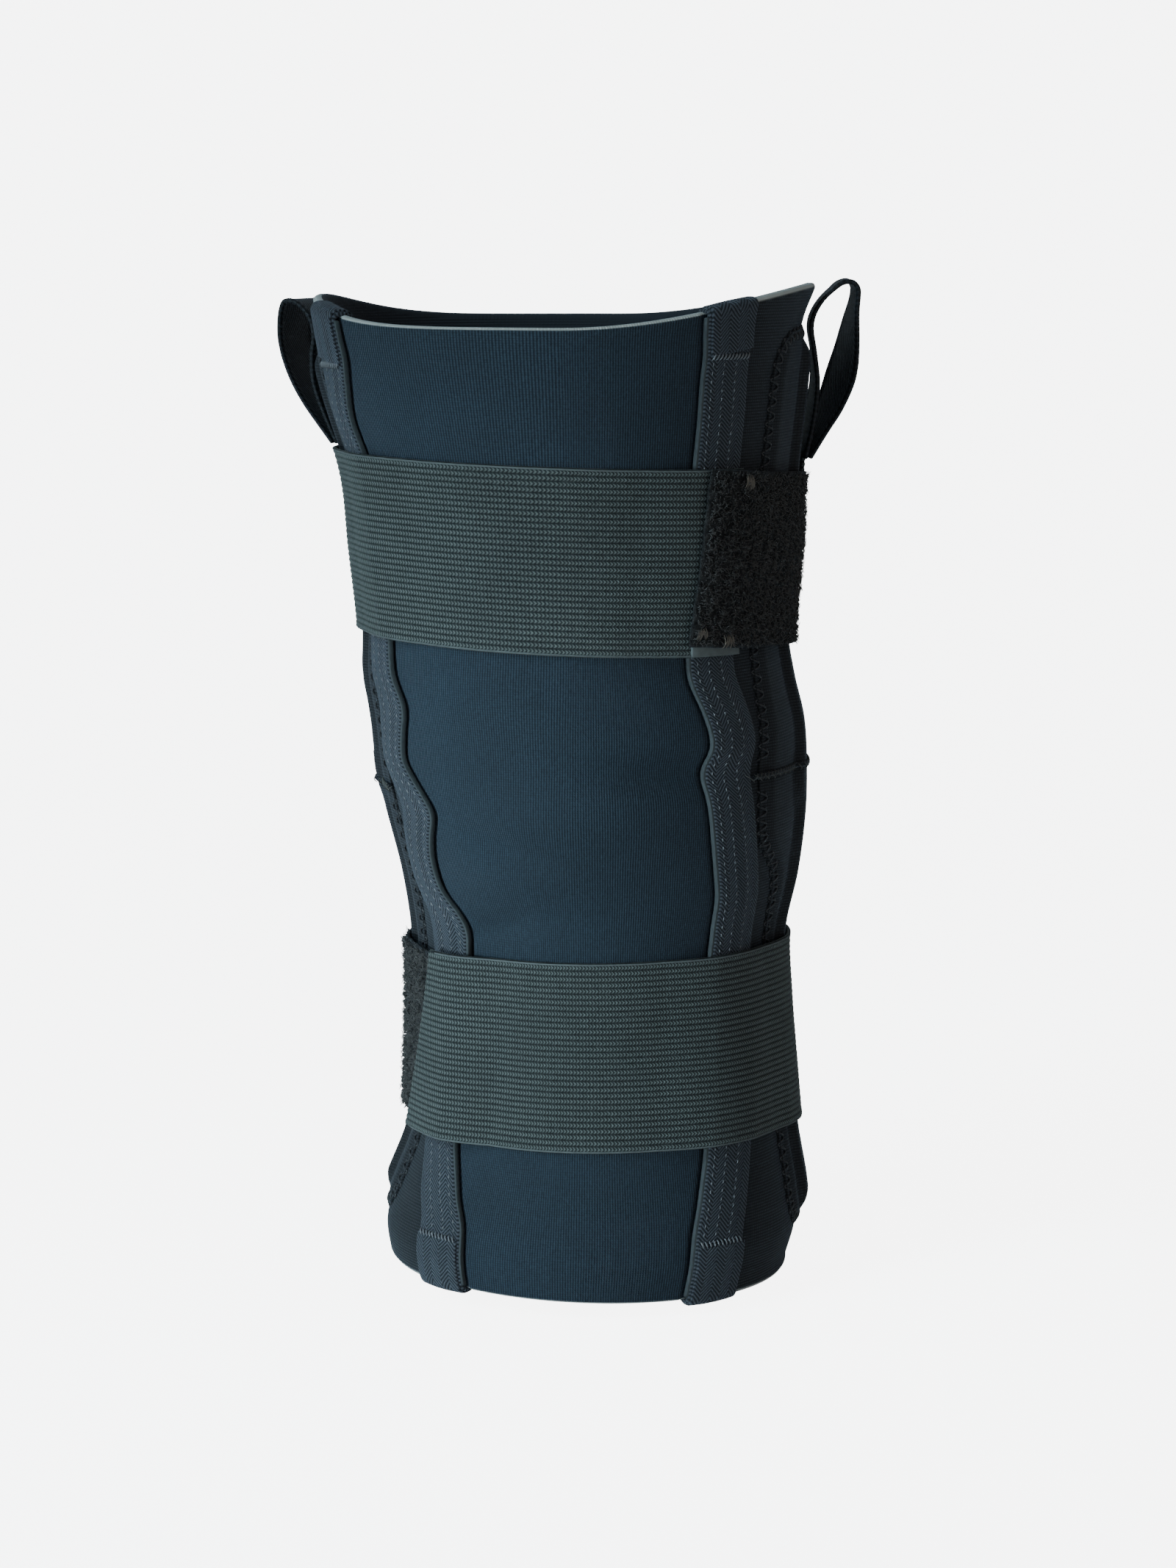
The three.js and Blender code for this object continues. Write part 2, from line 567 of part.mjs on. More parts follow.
// The upper strap starts at its sewn end under the pad, crosses the front and the back, and
// its free end lies on the pad's rear.
const upperStrapUnder = (angle, z) => restOn(upperStrapBed, angle, z, STRAP_REACH);
function upperStrapBed(angle, z) {
  const overPad = angle < UPPER_PAD_BACK - 360;
  return overPad ? upperPadUnder(angle + 360, z) + PAD_THICKNESS + PILE_GAP - LAYER_GAP
    : layersTop(angle, z);
}

function upperPadUnder(angle, z) {
  const bed = (a, height) => (a < UPPER_STRAP_FIRST
    ? restOn(layersTop, a, height, STRAP_REACH) + STRAP_THICKNESS : layersTop(a, height));
  return restOn(bed, angle, z, PAD_REACH);
}

const padSink = (angle) => UPPER_PAD_SINK * ((angle - UPPER_PAD_FRONT.top)
  / (UPPER_PAD_BACK - UPPER_PAD_FRONT.top));
const upperPadTop = (angle) => upperStrapTop(angle) - padSink(angle);
const upperPadBottom = (angle) => upperPadTop(angle) - UPPER_PAD_WIDTH;

// The lower strap starts at its sewn end under the rear of its pad, goes round the back and
// the right side, crosses the front, and its free end lies on the pad's front.
const lowerStrapUnder = (angle, z) => restOn(lowerStrapBed, angle, z, STRAP_REACH);
function lowerStrapBed(angle, z) {
  const overPad = angle < LOWER_PAD_FRONT && angle > LOWER_PAD_BACK;
  return overPad ? lowerPadUnder(angle, z) + PAD_THICKNESS + PILE_GAP - LAYER_GAP
    : layersTop(angle, z);
}

function lowerPadUnder(angle, z) {
  const bed = (a, height) => (a < LOWER_STRAP_FIRST - 360
    ? restOn(layersTop, a, height, STRAP_REACH) + STRAP_THICKNESS : layersTop(a, height));
  return restOn(bed, angle, z, PAD_REACH);
}

const lowerPadMiddle = () => (lowerStrapBottom() + lowerStrapTop()) / 2;
const lowerPadTop = () => lowerPadMiddle() + LOWER_PAD_WIDTH / 2;
const lowerPadBottom = () => lowerPadMiddle() - LOWER_PAD_WIDTH / 2;

const upperStrap = () => band(UPPER_STRAP_LAST, UPPER_STRAP_FIRST, upperStrapBottom,
  upperStrapTop, STRAP_STEP, STRAP_THICKNESS, upperStrapUnder);
const upperPad = () => band(UPPER_PAD_FRONT, UPPER_PAD_BACK, upperPadBottom, upperPadTop,
  PAD_STEP, PAD_THICKNESS, upperPadUnder);
const lowerStrap = () => band(LOWER_STRAP_LAST, LOWER_STRAP_FIRST, lowerStrapBottom,
  lowerStrapTop, STRAP_STEP, STRAP_THICKNESS, lowerStrapUnder);
const lowerPad = () => band(LOWER_PAD_BACK, LOWER_PAD_FRONT, lowerPadBottom, lowerPadTop,
  PAD_STEP, PAD_THICKNESS, lowerPadUnder);

// A loop of webbing that stands up past the top hem, with both ends sewn to the pocket.
function pullLoop(side) {
  const { sign, loop } = SIDES[side];
  const angle = sign * LOOP_ANGLE;
  const seat = POCKET_TOP + LAYER_GAP + WEBBING_THICKNESS / 2;
  const foot = upperStrapTop(angle) + LOOP_TO_STRAP;
  const get = (column, along) => fromTable(LOOP_RUN, column, along, 'along');
  const at = (along) => {
    const ply = get('ply', along) * (WEBBING_THICKNESS + LAYER_GAP);
    const stand = seat + get('out', along) * loop.stand + ply;
    return new THREE.Vector2(stand, foot + get('up', along) * loop.length);
  };
  const level = skin(angle + 1, foot, 0).sub(skin(angle - 1, foot, 0)).normalize();
  const up = new THREE.Vector3(0, 0, 1);
  const inner = [];
  const outer = [];
  for (const along of spread(0, 1, LOOP_STEPS)) {
    const here = at(along);
    const ahead = at(Math.min(1, along + RUN_STEP));
    const run = ahead.sub(at(Math.max(0, along - RUN_STEP))).normalize();
    const across = level.clone().applyAxisAngle(up, radians(sign * loop.twist * get('twist', along)));
    const edge = (out) => {
      const stand = here.x + run.y * out * WEBBING_THICKNESS / 2;
      const z = here.y - run.x * out * WEBBING_THICKNESS / 2;
      const middle = skin(angle, z, stand);
      return [-0.5, 0.5].map((k) => middle.clone().addScaledVector(across, k * WEBBING_WIDTH));
    };
    inner.push(edge(-1));
    outer.push(edge(1));
  }
  return closedGrid(inner, outer);
}

const FINISHES = {
  neoprene: { color: 0x16222e, roughness: 0.9, metalness: 0 },
  pocket_cloth: { color: 0x12161c, roughness: 0.92, metalness: 0 },
  tape: { color: 0x1a222c, roughness: 0.85, metalness: 0 },
  elastic: { color: 0x262d2e, roughness: 0.8, metalness: 0 },
  pile: { color: 0x0b0c0d, roughness: 1, metalness: 0 },
  webbing: { color: 0x0d0e10, roughness: 0.75, metalness: 0 },
  steel: { color: 0x9a9da0, roughness: 0.4, metalness: 1 },
};

const brace = new THREE.Group();
brace.name = 'hinged_knee_brace';

function addPiece(name, geometry, finish) {
  const mesh = new THREE.Mesh(geometry, new THREE.MeshStandardMaterial(FINISHES[finish]));
  mesh.name = name;
  brace.add(mesh);
}

addPiece('front_panel', frontPanel(), 'neoprene');
addPiece('back_panel', backPanel(), 'neoprene');
for (const side of ['left', 'right']) {
  addPiece(`stay_tape_${side}`, stayTape(side), 'tape');
  addPiece(`hinge_${side}`, hingeBar(side), 'steel');
  addPiece(`hinge_pocket_${side}_upper`, hingePocket(side, 'upper'), 'pocket_cloth');
  addPiece(`hinge_pocket_${side}_lower`, hingePocket(side, 'lower'), 'pocket_cloth');
  addPiece(`pull_loop_${side}`, pullLoop(side), 'webbing');
}
addPiece('upper_pad', upperPad(), 'pile');
addPiece('upper_strap', upperStrap(), 'elastic');
addPiece('lower_pad', lowerPad(), 'pile');
addPiece('lower_strap', lowerStrap(), 'elastic');

export default brace;
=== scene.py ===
# %% [markdown]
# # Hinged knee brace
# A padded sleeve in its worn form, with stay tapes over its two seams, a pocket on each side for
# a hinge bar, two wrap straps of elastic, the pile pads they grip, and a pull loop on each side.
# Every cloth piece is laid on one measured surface, so the layers stay in order all round.
# Working units are millimetres, and angles are degrees round from the front toward +X.

import bpy
import numpy as np
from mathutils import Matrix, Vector


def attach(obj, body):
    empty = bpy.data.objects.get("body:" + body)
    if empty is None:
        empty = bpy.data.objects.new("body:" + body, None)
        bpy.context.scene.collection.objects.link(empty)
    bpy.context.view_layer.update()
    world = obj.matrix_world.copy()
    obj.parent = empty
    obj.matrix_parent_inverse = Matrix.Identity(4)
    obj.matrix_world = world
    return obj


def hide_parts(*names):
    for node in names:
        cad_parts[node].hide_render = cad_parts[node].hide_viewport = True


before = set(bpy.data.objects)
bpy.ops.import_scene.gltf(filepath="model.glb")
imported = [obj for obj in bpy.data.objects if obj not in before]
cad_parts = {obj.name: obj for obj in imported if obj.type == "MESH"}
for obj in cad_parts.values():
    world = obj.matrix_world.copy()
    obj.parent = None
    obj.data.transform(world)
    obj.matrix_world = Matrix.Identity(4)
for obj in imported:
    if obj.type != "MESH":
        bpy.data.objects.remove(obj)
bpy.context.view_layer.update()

# %% [markdown]
# ## The sleeve's surface
# The real sleeve is soft, and its worn form is no plain cone. It could be sculpted, or lofted by
# hand. Here one table of level sections gives one smooth surface, because every layer can then be
# placed by an angle, a height and a stand. `SECTIONS` holds a height as a share of the thigh or
# shin length, and the half axes to the left, right, front and back. `FOLDS` are the soft bumps
# and creases of the cloth in front, at the height of the knee.

# %% Sizes and tables
THIGH, SHIN = 148.0, 163.0
OUTER_RISE, INNER_RISE, HEM_TILT = 12.0, 8.0, 1.8
HALF_WIDTH, HALF_DEPTH = 67.0, 65.0
WALL, GAP = 3.5, 0.35
FOLD_DEPTH = 2.6
TAPE_WIDTH, TAPE_THICK, TAPE_TURN = 18.0, 2.0, 19.0
HINGE_ANGLE, BAR_WIDTH, BAR_THICK, BAR_HEAD = 96.0, 16.0, 2.2, 12.0
POCKET_WALL, POCKET_SEAM, POCKET_ROOM = 2.0, 5.0, 1.5
POCKET_TOP, POCKET_BOTTOM, POCKET_CORNER = 13.0, 14.0, 14.0
SLIT = {-1: -2.0, 1: 5.0}
STRAP_THICK, PAD_THICK, PILE = 1.4, 2.2, 0.7
LOOP_ANGLE, WEBBING, WEBBING_THICK = 103.0, 25.0, 1.4
LOOP = {-1: (46.5, 8.5, 0.0), 1: (57.0, 9.0, 14.0)}

# height, left, right, front, back
SECTIONS = np.array([
    [1.08, 1.37, 1.09, 1.23, 1.23], [1.02, 1.35, 1.038, 1.215, 1.215],
    [0.96, 1.33, 1.011, 1.20, 1.20],
    [0.85, 1.27, 0.985, 1.15, 1.15], [0.67, 1.15, 0.945, 1.11, 1.11],
    [0.50, 1.11, 0.93, 1.06, 1.06], [0.33, 1.07, 0.90, 1.03, 1.02],
    [0.225, 1.07, 0.935, 1.03, 0.98], [0.13, 1.035, 0.985, 1.07, 0.955],
    [0.02, 1.005, 1.00, 1.08, 0.93], [-0.08, 0.955, 0.995, 1.045, 0.925],
    [-0.20, 0.88, 0.96, 0.98, 0.925], [-0.32, 0.835, 0.90, 0.915, 0.94],
    [-0.45, 0.825, 0.91, 0.885, 0.97], [-0.60, 0.835, 0.94, 0.875, 1.015],
    [-0.73, 0.86, 0.97, 0.91, 1.06], [-0.85, 0.97, 1.02, 0.955, 1.09],
    [-0.93, 1.03, 1.03, 0.985, 1.11], [-1.00, 1.01, 0.985, 0.99, 1.11]])[::-1]

# angle, height, reach, tall, slant, depth
FOLDS = np.array([
    [-18, 0.22, 26, 0.09, -0.02, 0.60], [30, 0.06, 24, 0.04, -0.01, -1.50],
    [-2, -0.05, 24, 0.07, 0.00, 0.90], [-20, -0.10, 12, 0.035, -0.03, -0.80],
    [-14, -0.18, 22, 0.05, -0.02, 0.70], [-24, -0.285, 13, 0.035, 0.02, -0.90],
    [22, -0.19, 18, 0.07, 0.03, -0.35]])

# height, left seam, right seam
SEAMS = np.array([
    [1.00, -63.5, 45.3], [0.92, -62.5, 46.5], [0.86, -64.5, 46.2], [0.78, -67.5, 46.2],
    [0.70, -66, 45.9], [0.50, -66, 45.5], [0.33, -65, 46.5], [0.25, -63.5, 46],
    [0.18, -58.5, 49], [0.11, -61, 50.5], [0.06, -61.5, 49], [0.02, -57, 48.5],
    [-0.04, -51, 49.5], [-0.10, -54, 51], [-0.15, -56, 52.5], [-0.20, -55, 54],
    [-0.25, -48, 54.5], [-0.31, -46, 55], [-0.50, -48.5, 53.5], [-0.71, -52, 50],
    [-0.81, -46, 46], [-0.89, -40, 43], [-1.00, -38.5, 42.5]])[::-1]

# height, left front, left back, right front, right back
POCKETS = np.array([
    [1.00, -79, -120, 68, 125], [0.80, -79, -120, 67, 125], [0.68, -78, -120, 66.5, 125],
    [0.30, -77, -119, 65.5, 124], [0.15, -74, -118, 63.5, 123], [0.00, -71, -118, 61, 121],
    [-0.10, -69, -118, 62, 120], [-0.18, -68, -118, 72, 120], [-0.33, -69, -118, 77, 119],
    [-0.60, -71, -118, 79, 119], [-1.00, -71, -119, 77, 120]])[::-1]

# along, up, out, ply, twist
LOOP_RUN = np.array([
    [0.00, 0.00, 0.00, 0, 0], [0.10, 0.20, 0.14, 0, 0], [0.20, 0.42, 0.20, 0, -0.2],
    [0.28, 0.60, 0.02, 0, -0.4], [0.35, 0.76, -0.26, 0, -0.4], [0.41, 0.89, -0.18, 0.1, -0.4],
    [0.45, 0.97, 0.12, 0.3, -0.4], [0.49, 1.00, 0.46, 0.5, -0.4], [0.54, 0.98, 0.74, 0.7, -0.3],
    [0.60, 0.86, 0.95, 0.9, -0.1], [0.69, 0.66, 1.05, 1, 0.5], [0.78, 0.46, 0.94, 1, 1],
    [0.86, 0.28, 0.66, 1, 0.8], [0.93, 0.13, 0.32, 1, 0.3], [1.00, 0.00, 0.00, 1, 0]])

TAPE_TOP = GAP + TAPE_THICK
BAR_TOP = GAP + BAR_THICK
EDGE_TOP = GAP + POCKET_WALL
POCKET_HIGH = BAR_TOP + GAP + POCKET_WALL

# %% [markdown]
# `curve` reads a table on a smooth curve through its rows. `skin` gives the point at an angle and
# a height that stands a lift outside the sleeve's outer face, on all of its arrays at once.

# %% The surface
def curve(table, column, x):
    """Value of a column at x: the cubic whose slope at each row is that between its neighbours."""
    xs, ys = table[:, 0], table[:, column]
    slope = np.gradient(ys, xs, edge_order=1)
    slope[1:-1] = (ys[2:] - ys[:-2]) / (xs[2:] - xs[:-2])
    x = np.clip(np.asarray(x, float), xs[0], xs[-1])
    k = np.clip(np.searchsorted(xs, x) - 1, 0, len(xs) - 2)
    h = xs[k + 1] - xs[k]
    t = (x - xs[k]) / h
    return ((2 * t**3 - 3 * t**2 + 1) * ys[k] + (t**3 - 2 * t**2 + t) * h * slope[k]
            + (3 * t**2 - 2 * t**3) * ys[k + 1] + (t**3 - t**2) * h * slope[k + 1])


def turned(angle):
    """An angle brought into -180 to 180."""
    return angle - 360 * np.round(np.asarray(angle, float) / 360)


def top_hem(angle):
    s = np.sin(np.radians(angle))
    return THIGH + OUTER_RISE * np.maximum(0, s) ** 2 + INNER_RISE * np.maximum(0, -s) ** 6


def bottom_hem(angle):
    return SHIN + HEM_TILT * np.sin(np.radians(angle))


def height_at(angle, share):
    return share * np.where(np.asarray(share) >= 0, top_hem(angle), bottom_hem(angle))


def share_at(angle, z):
    return z / np.where(np.asarray(z) >= 0, top_hem(angle), bottom_hem(angle))


def fold(angle, z):
    """Sum of soft bells on the front, each slanted and as deep as its row says."""
    total = 0.0
    for at, height, reach, tall, slant, depth in FOLDS:
        across = (turned(angle) - at) / reach
        up = (z / THIGH - height - slant * across) / tall
        total = total + depth * FOLD_DEPTH * np.exp(-across**2 - up**2)
    return total


def skin(angle, z, lift=0.0):
    """Ellipse quarter at the height, moved out along its level normal by the lift and the fold."""
    angle, z, lift = np.broadcast_arrays(*(np.asarray(v, float) for v in (angle, z, lift)))
    height = z / np.where(z >= 0, THIGH, SHIN)
    s, c = np.sin(np.radians(angle)), np.cos(np.radians(angle))
    a = HALF_WIDTH * np.where(s > 0, curve(SECTIONS, 2, height), curve(SECTIONS, 1, height))
    b = HALF_DEPTH * np.where(c > 0, curve(SECTIONS, 3, height), curve(SECTIONS, 4, height))
    nx, ny = b * s, -a * c
    out = (lift + fold(angle, z)) / np.hypot(nx, ny)
    return np.stack([a * s + out * nx, -b * c + out * ny, z], -1)


def degrees_for(width, angle, z):
    """How many degrees a width takes up at a place on the sleeve."""
    step = skin(np.asarray(angle) + 0.5, z) - skin(np.asarray(angle) - 0.5, z)
    return width / np.linalg.norm(step, axis=-1)


def outward(angle, z):
    """Unit normal of the bare surface: its level tangent crossed with its rising one."""
    level = skin(np.asarray(angle) + 0.2, z) - skin(np.asarray(angle) - 0.2, z)
    rising = skin(angle, np.asarray(z) + 0.2) - skin(angle, np.asarray(z) - 0.2)
    n = np.cross(level, rising)
    return n / np.linalg.norm(n, axis=-1, keepdims=True)


print("section at the knee", skin([-90, 0, 90, 180], 0).round(1).tolist())

# %% [markdown]
# ## Where things run
# On the real brace the tapes cover the seams and wander with them, and the pockets stay between
# the tapes and the back. Curves drawn in space would leave the cloth wherever it bends. So seams,
# tapes, hinge bars and pockets are angles at a share of the height on each side.
# `side` is -1 on the left and 1 on the right.

# %% Seams, tapes, bars and pockets
def seam(side, share):
    return curve(SEAMS, 1 if side < 0 else 2, share)


def tape_edge(side, share, way):
    """Angle of a tape's edge, outward from its seam for way 1 and inward for way -1."""
    centre = seam(side, share)
    return centre + side * way * degrees_for(TAPE_WIDTH / 2, centre, height_at(centre, share))


def bar_half(z):
    """Half the bar's width: a round head at the knee, eased into the arms."""
    head = np.sqrt(np.maximum(0, BAR_HEAD**2 - np.asarray(z, float) ** 2))
    return np.maximum(BAR_WIDTH / 2, head)


def pocket_edge(side, share, way):
    """Angle of a pocket's front edge for way -1 or back edge for way 1, clear of tape and bar."""
    z = height_at(side * HINGE_ANGLE, share)
    column = (1 if side < 0 else 3) + (0 if way < 0 else 1)
    drawn = side * curve(POCKETS, column, share)
    bar = HINGE_ANGLE + way * degrees_for(bar_half(z) + POCKET_SEAM, side * HINGE_ANGLE, z)
    if way > 0:
        return side * np.maximum(drawn, bar)
    tape = side * tape_edge(side, share, 1)
    clear = tape + degrees_for(POCKET_ROOM, side * tape, z)
    return side * np.maximum(clear, np.minimum(drawn, bar))


def smooth(x):
    """0 up to 0, 1 from 1 on, with a level start and end."""
    x = np.clip(x, 0, 1)
    return x * x * (3 - 2 * x)


def off_bar(side, angle, z):
    """Distance in mm from the bar's edge, negative over the bar."""
    centre = side * HINGE_ANGLE
    away = np.abs(turned(angle - centre)) / degrees_for(1.0, centre, z)
    return away - bar_half(z)


def layers_top(angle, z):
    """Stand of the highest layer on the sleeve at a place: a tape, a pocket, or the bare cloth."""
    angle = turned(angle)
    share = share_at(angle, z)
    top = np.zeros(np.broadcast(angle, z).shape)
    for side in (-1, 1):
        a = side * angle
        on_tape = (a >= side * tape_edge(side, share, -1)) & (a <= side * tape_edge(side, share, 1))
        pocket = (a >= side * pocket_edge(side, share, -1)) & (a <= side * pocket_edge(side, share, 1))
        over = pocket * (1 - smooth(off_bar(side, angle, z) / POCKET_SEAM))
        top = np.maximum(top, on_tape * TAPE_TOP)
        top = np.maximum(top, pocket * EDGE_TOP + over * (POCKET_HIGH - EDGE_TOP))
    return top


print("left tape at the knee", [round(float(tape_edge(-1, 0.0, w)), 1) for w in (-1, 1)])

# %% [markdown]
# ## Building closed pieces
# Cloth has two faces and a cut edge. A Solidify modifier could give it its wall, but the edge
# would be square everywhere. So both faces and the rim are worked out, and each point carries
# `cloth`: mm across, mm along, and 0 on the outside, 1 on the inside and between on the rim.

# %% Pieces
def piece(name, points, faces, material, slot, cloth=None, replaces=()):
    """Mesh object at the origin from points in mm and four-cornered faces, riding on the root."""
    mesh = bpy.data.meshes.new(name)
    faces = np.asarray(faces)
    mesh.vertices.add(len(points))
    mesh.vertices.foreach_set("co", (np.asarray(points) / 1000).astype(np.float32).ravel())
    mesh.loops.add(faces.size)
    mesh.loops.foreach_set("vertex_index", faces.astype(np.int32).ravel())
    mesh.polygons.add(len(faces))
    mesh.polygons.foreach_set("loop_start", np.arange(0, faces.size, 4, dtype=np.int32))
    mesh.polygons.foreach_set("use_smooth", np.ones(len(faces), bool))
    mesh.update(calc_edges=True)
    if cloth is not None:
        layer = mesh.attributes.new("cloth", "FLOAT_VECTOR", "POINT")
        layer.data.foreach_set("vector", np.asarray(cloth, np.float32).ravel())
    mesh.materials.append(material)
    obj = bpy.data.objects.new(name, mesh)
    bpy.context.scene.collection.objects.link(obj)
    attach(obj, "root")
    if replaces:
        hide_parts(*replaces)
    print(name, 2 * len(faces), "triangles")
    return obj


# %% [markdown]
# `slab` closes two facing grids with a rim, rounded as a woven edge is or cut square as foam is.

# %% Slabs
def grid_faces(rows, columns, first=0):
    """Quads of a grid whose rows go up and columns go right, seen from outside."""
    k = first + np.arange(rows * columns).reshape(rows, columns)
    return np.stack([k[:-1, :-1], k[:-1, 1:], k[1:, 1:], k[1:, :-1]], -1).reshape(-1, 4)


def rim_of(rows, columns):
    """Indices once round a grid: bottom row right, last column up, top row left, first down."""
    k = np.arange(rows * columns).reshape(rows, columns)
    return np.concatenate([k[0, :-1], k[:-1, -1], k[-1, :0:-1], k[:0:-1, 0]])


def slab(outer, inner, across, along, edge="cut", bevel=0.35):
    """Closed body between two facing grids.

    The rim is a run of loops between the two borders. Each loop goes out past the border by the
    profile's first value, along the grid, and stands at its second, as a share of the thickness.
    """
    rows, columns = outer.shape[:2]
    rim = rim_of(rows, columns)
    out, inn = outer.reshape(-1, 3), inner.reshape(-1, 3)
    middle = (out + inn) / 2
    step = np.zeros_like(middle).reshape(rows, columns, 3)
    grid = middle.reshape(rows, columns, 3)
    unit = lambda v: v / np.linalg.norm(v, axis=-1, keepdims=True)
    step[:, 0] += unit(grid[:, 0] - grid[:, 1])
    step[:, -1] += unit(grid[:, -1] - grid[:, -2])
    step[0] += unit(grid[0] - grid[1])
    step[-1] += unit(grid[-1] - grid[-2])
    away = step.reshape(-1, 3)[rim]
    half = (out - inn)[rim] / 2
    if edge == "round":
        turn = np.linspace(0, np.pi, 7)[1:-1]
        profile = np.stack([np.sin(turn) * np.linalg.norm(half, axis=-1).mean(), np.cos(turn)], -1)
    else:
        profile = np.array([[0.35 * bevel, 0.90], [0.8 * bevel, 0.55], [bevel, 0.05], [bevel, -0.74],
                            [0.6 * bevel, -0.95]])
    loops = [middle[rim] + half * stand + away * reach for reach, stand in profile]
    points = np.concatenate([out, inn, *loops])
    n, count = rows * columns, len(rim)
    rings = [rim, *(2 * n + count * k + np.arange(count) for k in range(len(loops))), n + rim]
    faces = [grid_faces(rows, columns), grid_faces(rows, columns, n)[:, ::-1]]
    for upper, lower in zip(rings[:-1], rings[1:]):
        faces.append(np.stack([upper, lower, np.roll(lower, -1), np.roll(upper, -1)], -1))
    flat = np.stack(np.broadcast_arrays(across, along), -1).reshape(-1, 2)
    layers = [np.zeros(n), np.ones(n), *(np.full(count, 0.5 - stand / 2) for _, stand in profile)]
    flats = [flat, flat, *[flat[rim]] * len(loops)]
    cloth = np.column_stack([np.concatenate(flats), np.concatenate(layers)])
    return points, np.concatenate(faces), cloth


# %% [markdown]
# Threads and fibres are thin round runs, in their hundreds. Curve objects with a bevel would do
# for a few. `tubes` sweeps them all at once into one mesh, with a handful of faces each.

# %% Tubes and lumps
def tubes(paths, up, radius, sides=6):
    """Closed tubes along many paths at once, each an array of points (count, steps, 3).

    A ring of sides points turns about each path point in the plane across its run, and the
    first and last rings are drawn in and closed with quads, so sides is 4, 6 or 8.
    """
    paths = np.asarray(paths, float)
    count, steps = paths.shape[:2]
    run = np.gradient(paths, axis=1)
    run /= np.linalg.norm(run, axis=-1, keepdims=True) + 1e-9
    side = np.cross(run, np.broadcast_to(up, paths.shape))
    side /= np.linalg.norm(side, axis=-1, keepdims=True) + 1e-9
    rise = np.cross(side, run)
    turn = 2 * np.pi * np.arange(sides) / sides
    size = np.broadcast_to(np.asarray(radius, float), (count, steps)).copy()
    size[:, 0] *= 0.5
    size[:, -1] *= 0.5
    ring = side[:, :, None] * np.cos(turn)[:, None] + rise[:, :, None] * np.sin(turn)[:, None]
    points = paths[:, :, None] + size[:, :, None, None] * ring
    k = np.arange(count * steps * sides).reshape(count, steps, sides)
    nxt = np.roll(k, -1, axis=2)
    walls = np.stack([k[:, :-1], k[:, 1:], nxt[:, 1:], nxt[:, :-1]], -1).reshape(-1, 4)
    caps = [end[:, [0, j + 1, j + 2, j + 3]][:, ::order]
            for end, order in ((k[:, 0], 1), (k[:, -1], -1)) for j in range(0, sides - 2, 2)]
    return points.reshape(-1, 3), np.concatenate([walls, *caps])


def lumps(x, y, seed, shortest=2.6, longest=6.5, waves=26):
    """Sum of plane waves with random runs and lengths, about -1 to 1."""
    rng = np.random.default_rng(seed)
    total = 0.0
    for _ in range(waves):
        turn = rng.uniform(0, 2 * np.pi)
        length = rng.uniform(shortest, longest)
        phase = rng.uniform(0, 2 * np.pi)
        total = total + np.cos(2 * np.pi * (x * np.cos(turn) + y * np.sin(turn)) / length + phase)
    return total / np.sqrt(waves)


def together(parts):
    """Several (points, faces) as one."""
    points, faces, at = [], [], 0
    for p, f in parts:
        points.append(p)
        faces.append(np.asarray(f) + at)
        at += len(p)
    return np.concatenate(points), np.concatenate(faces)

# %% [markdown]
# ## Cloth materials
# The real cloths are a knit, a woven tape, an elastic, a webbing and a pile, all finer than 2 mm.
# Modelled yarns would take millions of faces. Waves on the cloth's own axes follow each piece as
# it bends, so an effect is a node group that reads `cloth` and gives a colour and a normal.

# %% Node helpers
def add(tree, kind, *values, **settings):
    """New node with its settings. The values fill its inputs in order, and sockets are linked."""
    node = tree.nodes.new(kind)
    for name, value in settings.items():
        setattr(node, name, value)
    for socket, value in zip(node.inputs, values):
        if isinstance(value, bpy.types.NodeSocket):
            tree.links.new(value, socket)
        elif value is not None:
            socket.default_value = value
    return node


def calc(tree, operation, *values):
    return add(tree, "ShaderNodeMath", *values, operation=operation).outputs[0]


def blend_colour(tree, share, dark, light):
    node = add(tree, "ShaderNodeMix", data_type="RGBA")
    for name, value in ((0, share), (6, dark), (7, light)):
        socket = node.inputs[name]
        if isinstance(value, bpy.types.NodeSocket):
            tree.links.new(value, socket)
        else:
            socket.default_value = value
    return node.outputs[2]


def wave(tree, position, pitch):
    """0.5 + 0.5 cos of a position in mm over a pitch in mm."""
    turns = calc(tree, "DIVIDE", position, pitch)
    swing = calc(tree, "COSINE", calc(tree, "MULTIPLY", turns, 2 * np.pi))
    return calc(tree, "MULTIPLY_ADD", swing, 0.5, 0.5)


def group(name, inputs, outputs):
    """Empty node group with named sockets, and its input and output nodes."""
    tree = bpy.data.node_groups.new(name, "ShaderNodeTree")
    for label, kind, value in inputs:
        socket = tree.interface.new_socket(label, in_out="INPUT", socket_type=f"NodeSocket{kind}")
        socket.default_value = value
    for label, kind in outputs:
        tree.interface.new_socket(label, in_out="OUTPUT", socket_type=f"NodeSocket{kind}")
    return tree, tree.nodes.new("NodeGroupInput").outputs, tree.nodes.new("NodeGroupOutput").inputs


def cloth_axes(tree):
    """The three values of the cloth attribute: mm across, mm along, and the layer."""
    attribute = add(tree, "ShaderNodeAttribute", attribute_name="cloth")
    return add(tree, "ShaderNodeSeparateXYZ", attribute.outputs["Vector"]).outputs


def noise(tree, scale, detail=2.0):
    """Noise from the object's own coordinates, with its scale per metre."""
    place = add(tree, "ShaderNodeTexCoord").outputs["Object"]
    node = add(tree, "ShaderNodeTexNoise")
    tree.links.new(place, node.inputs["Vector"])
    node.inputs["Scale"].default_value = scale
    node.inputs["Detail"].default_value = detail
    return node.outputs[0]


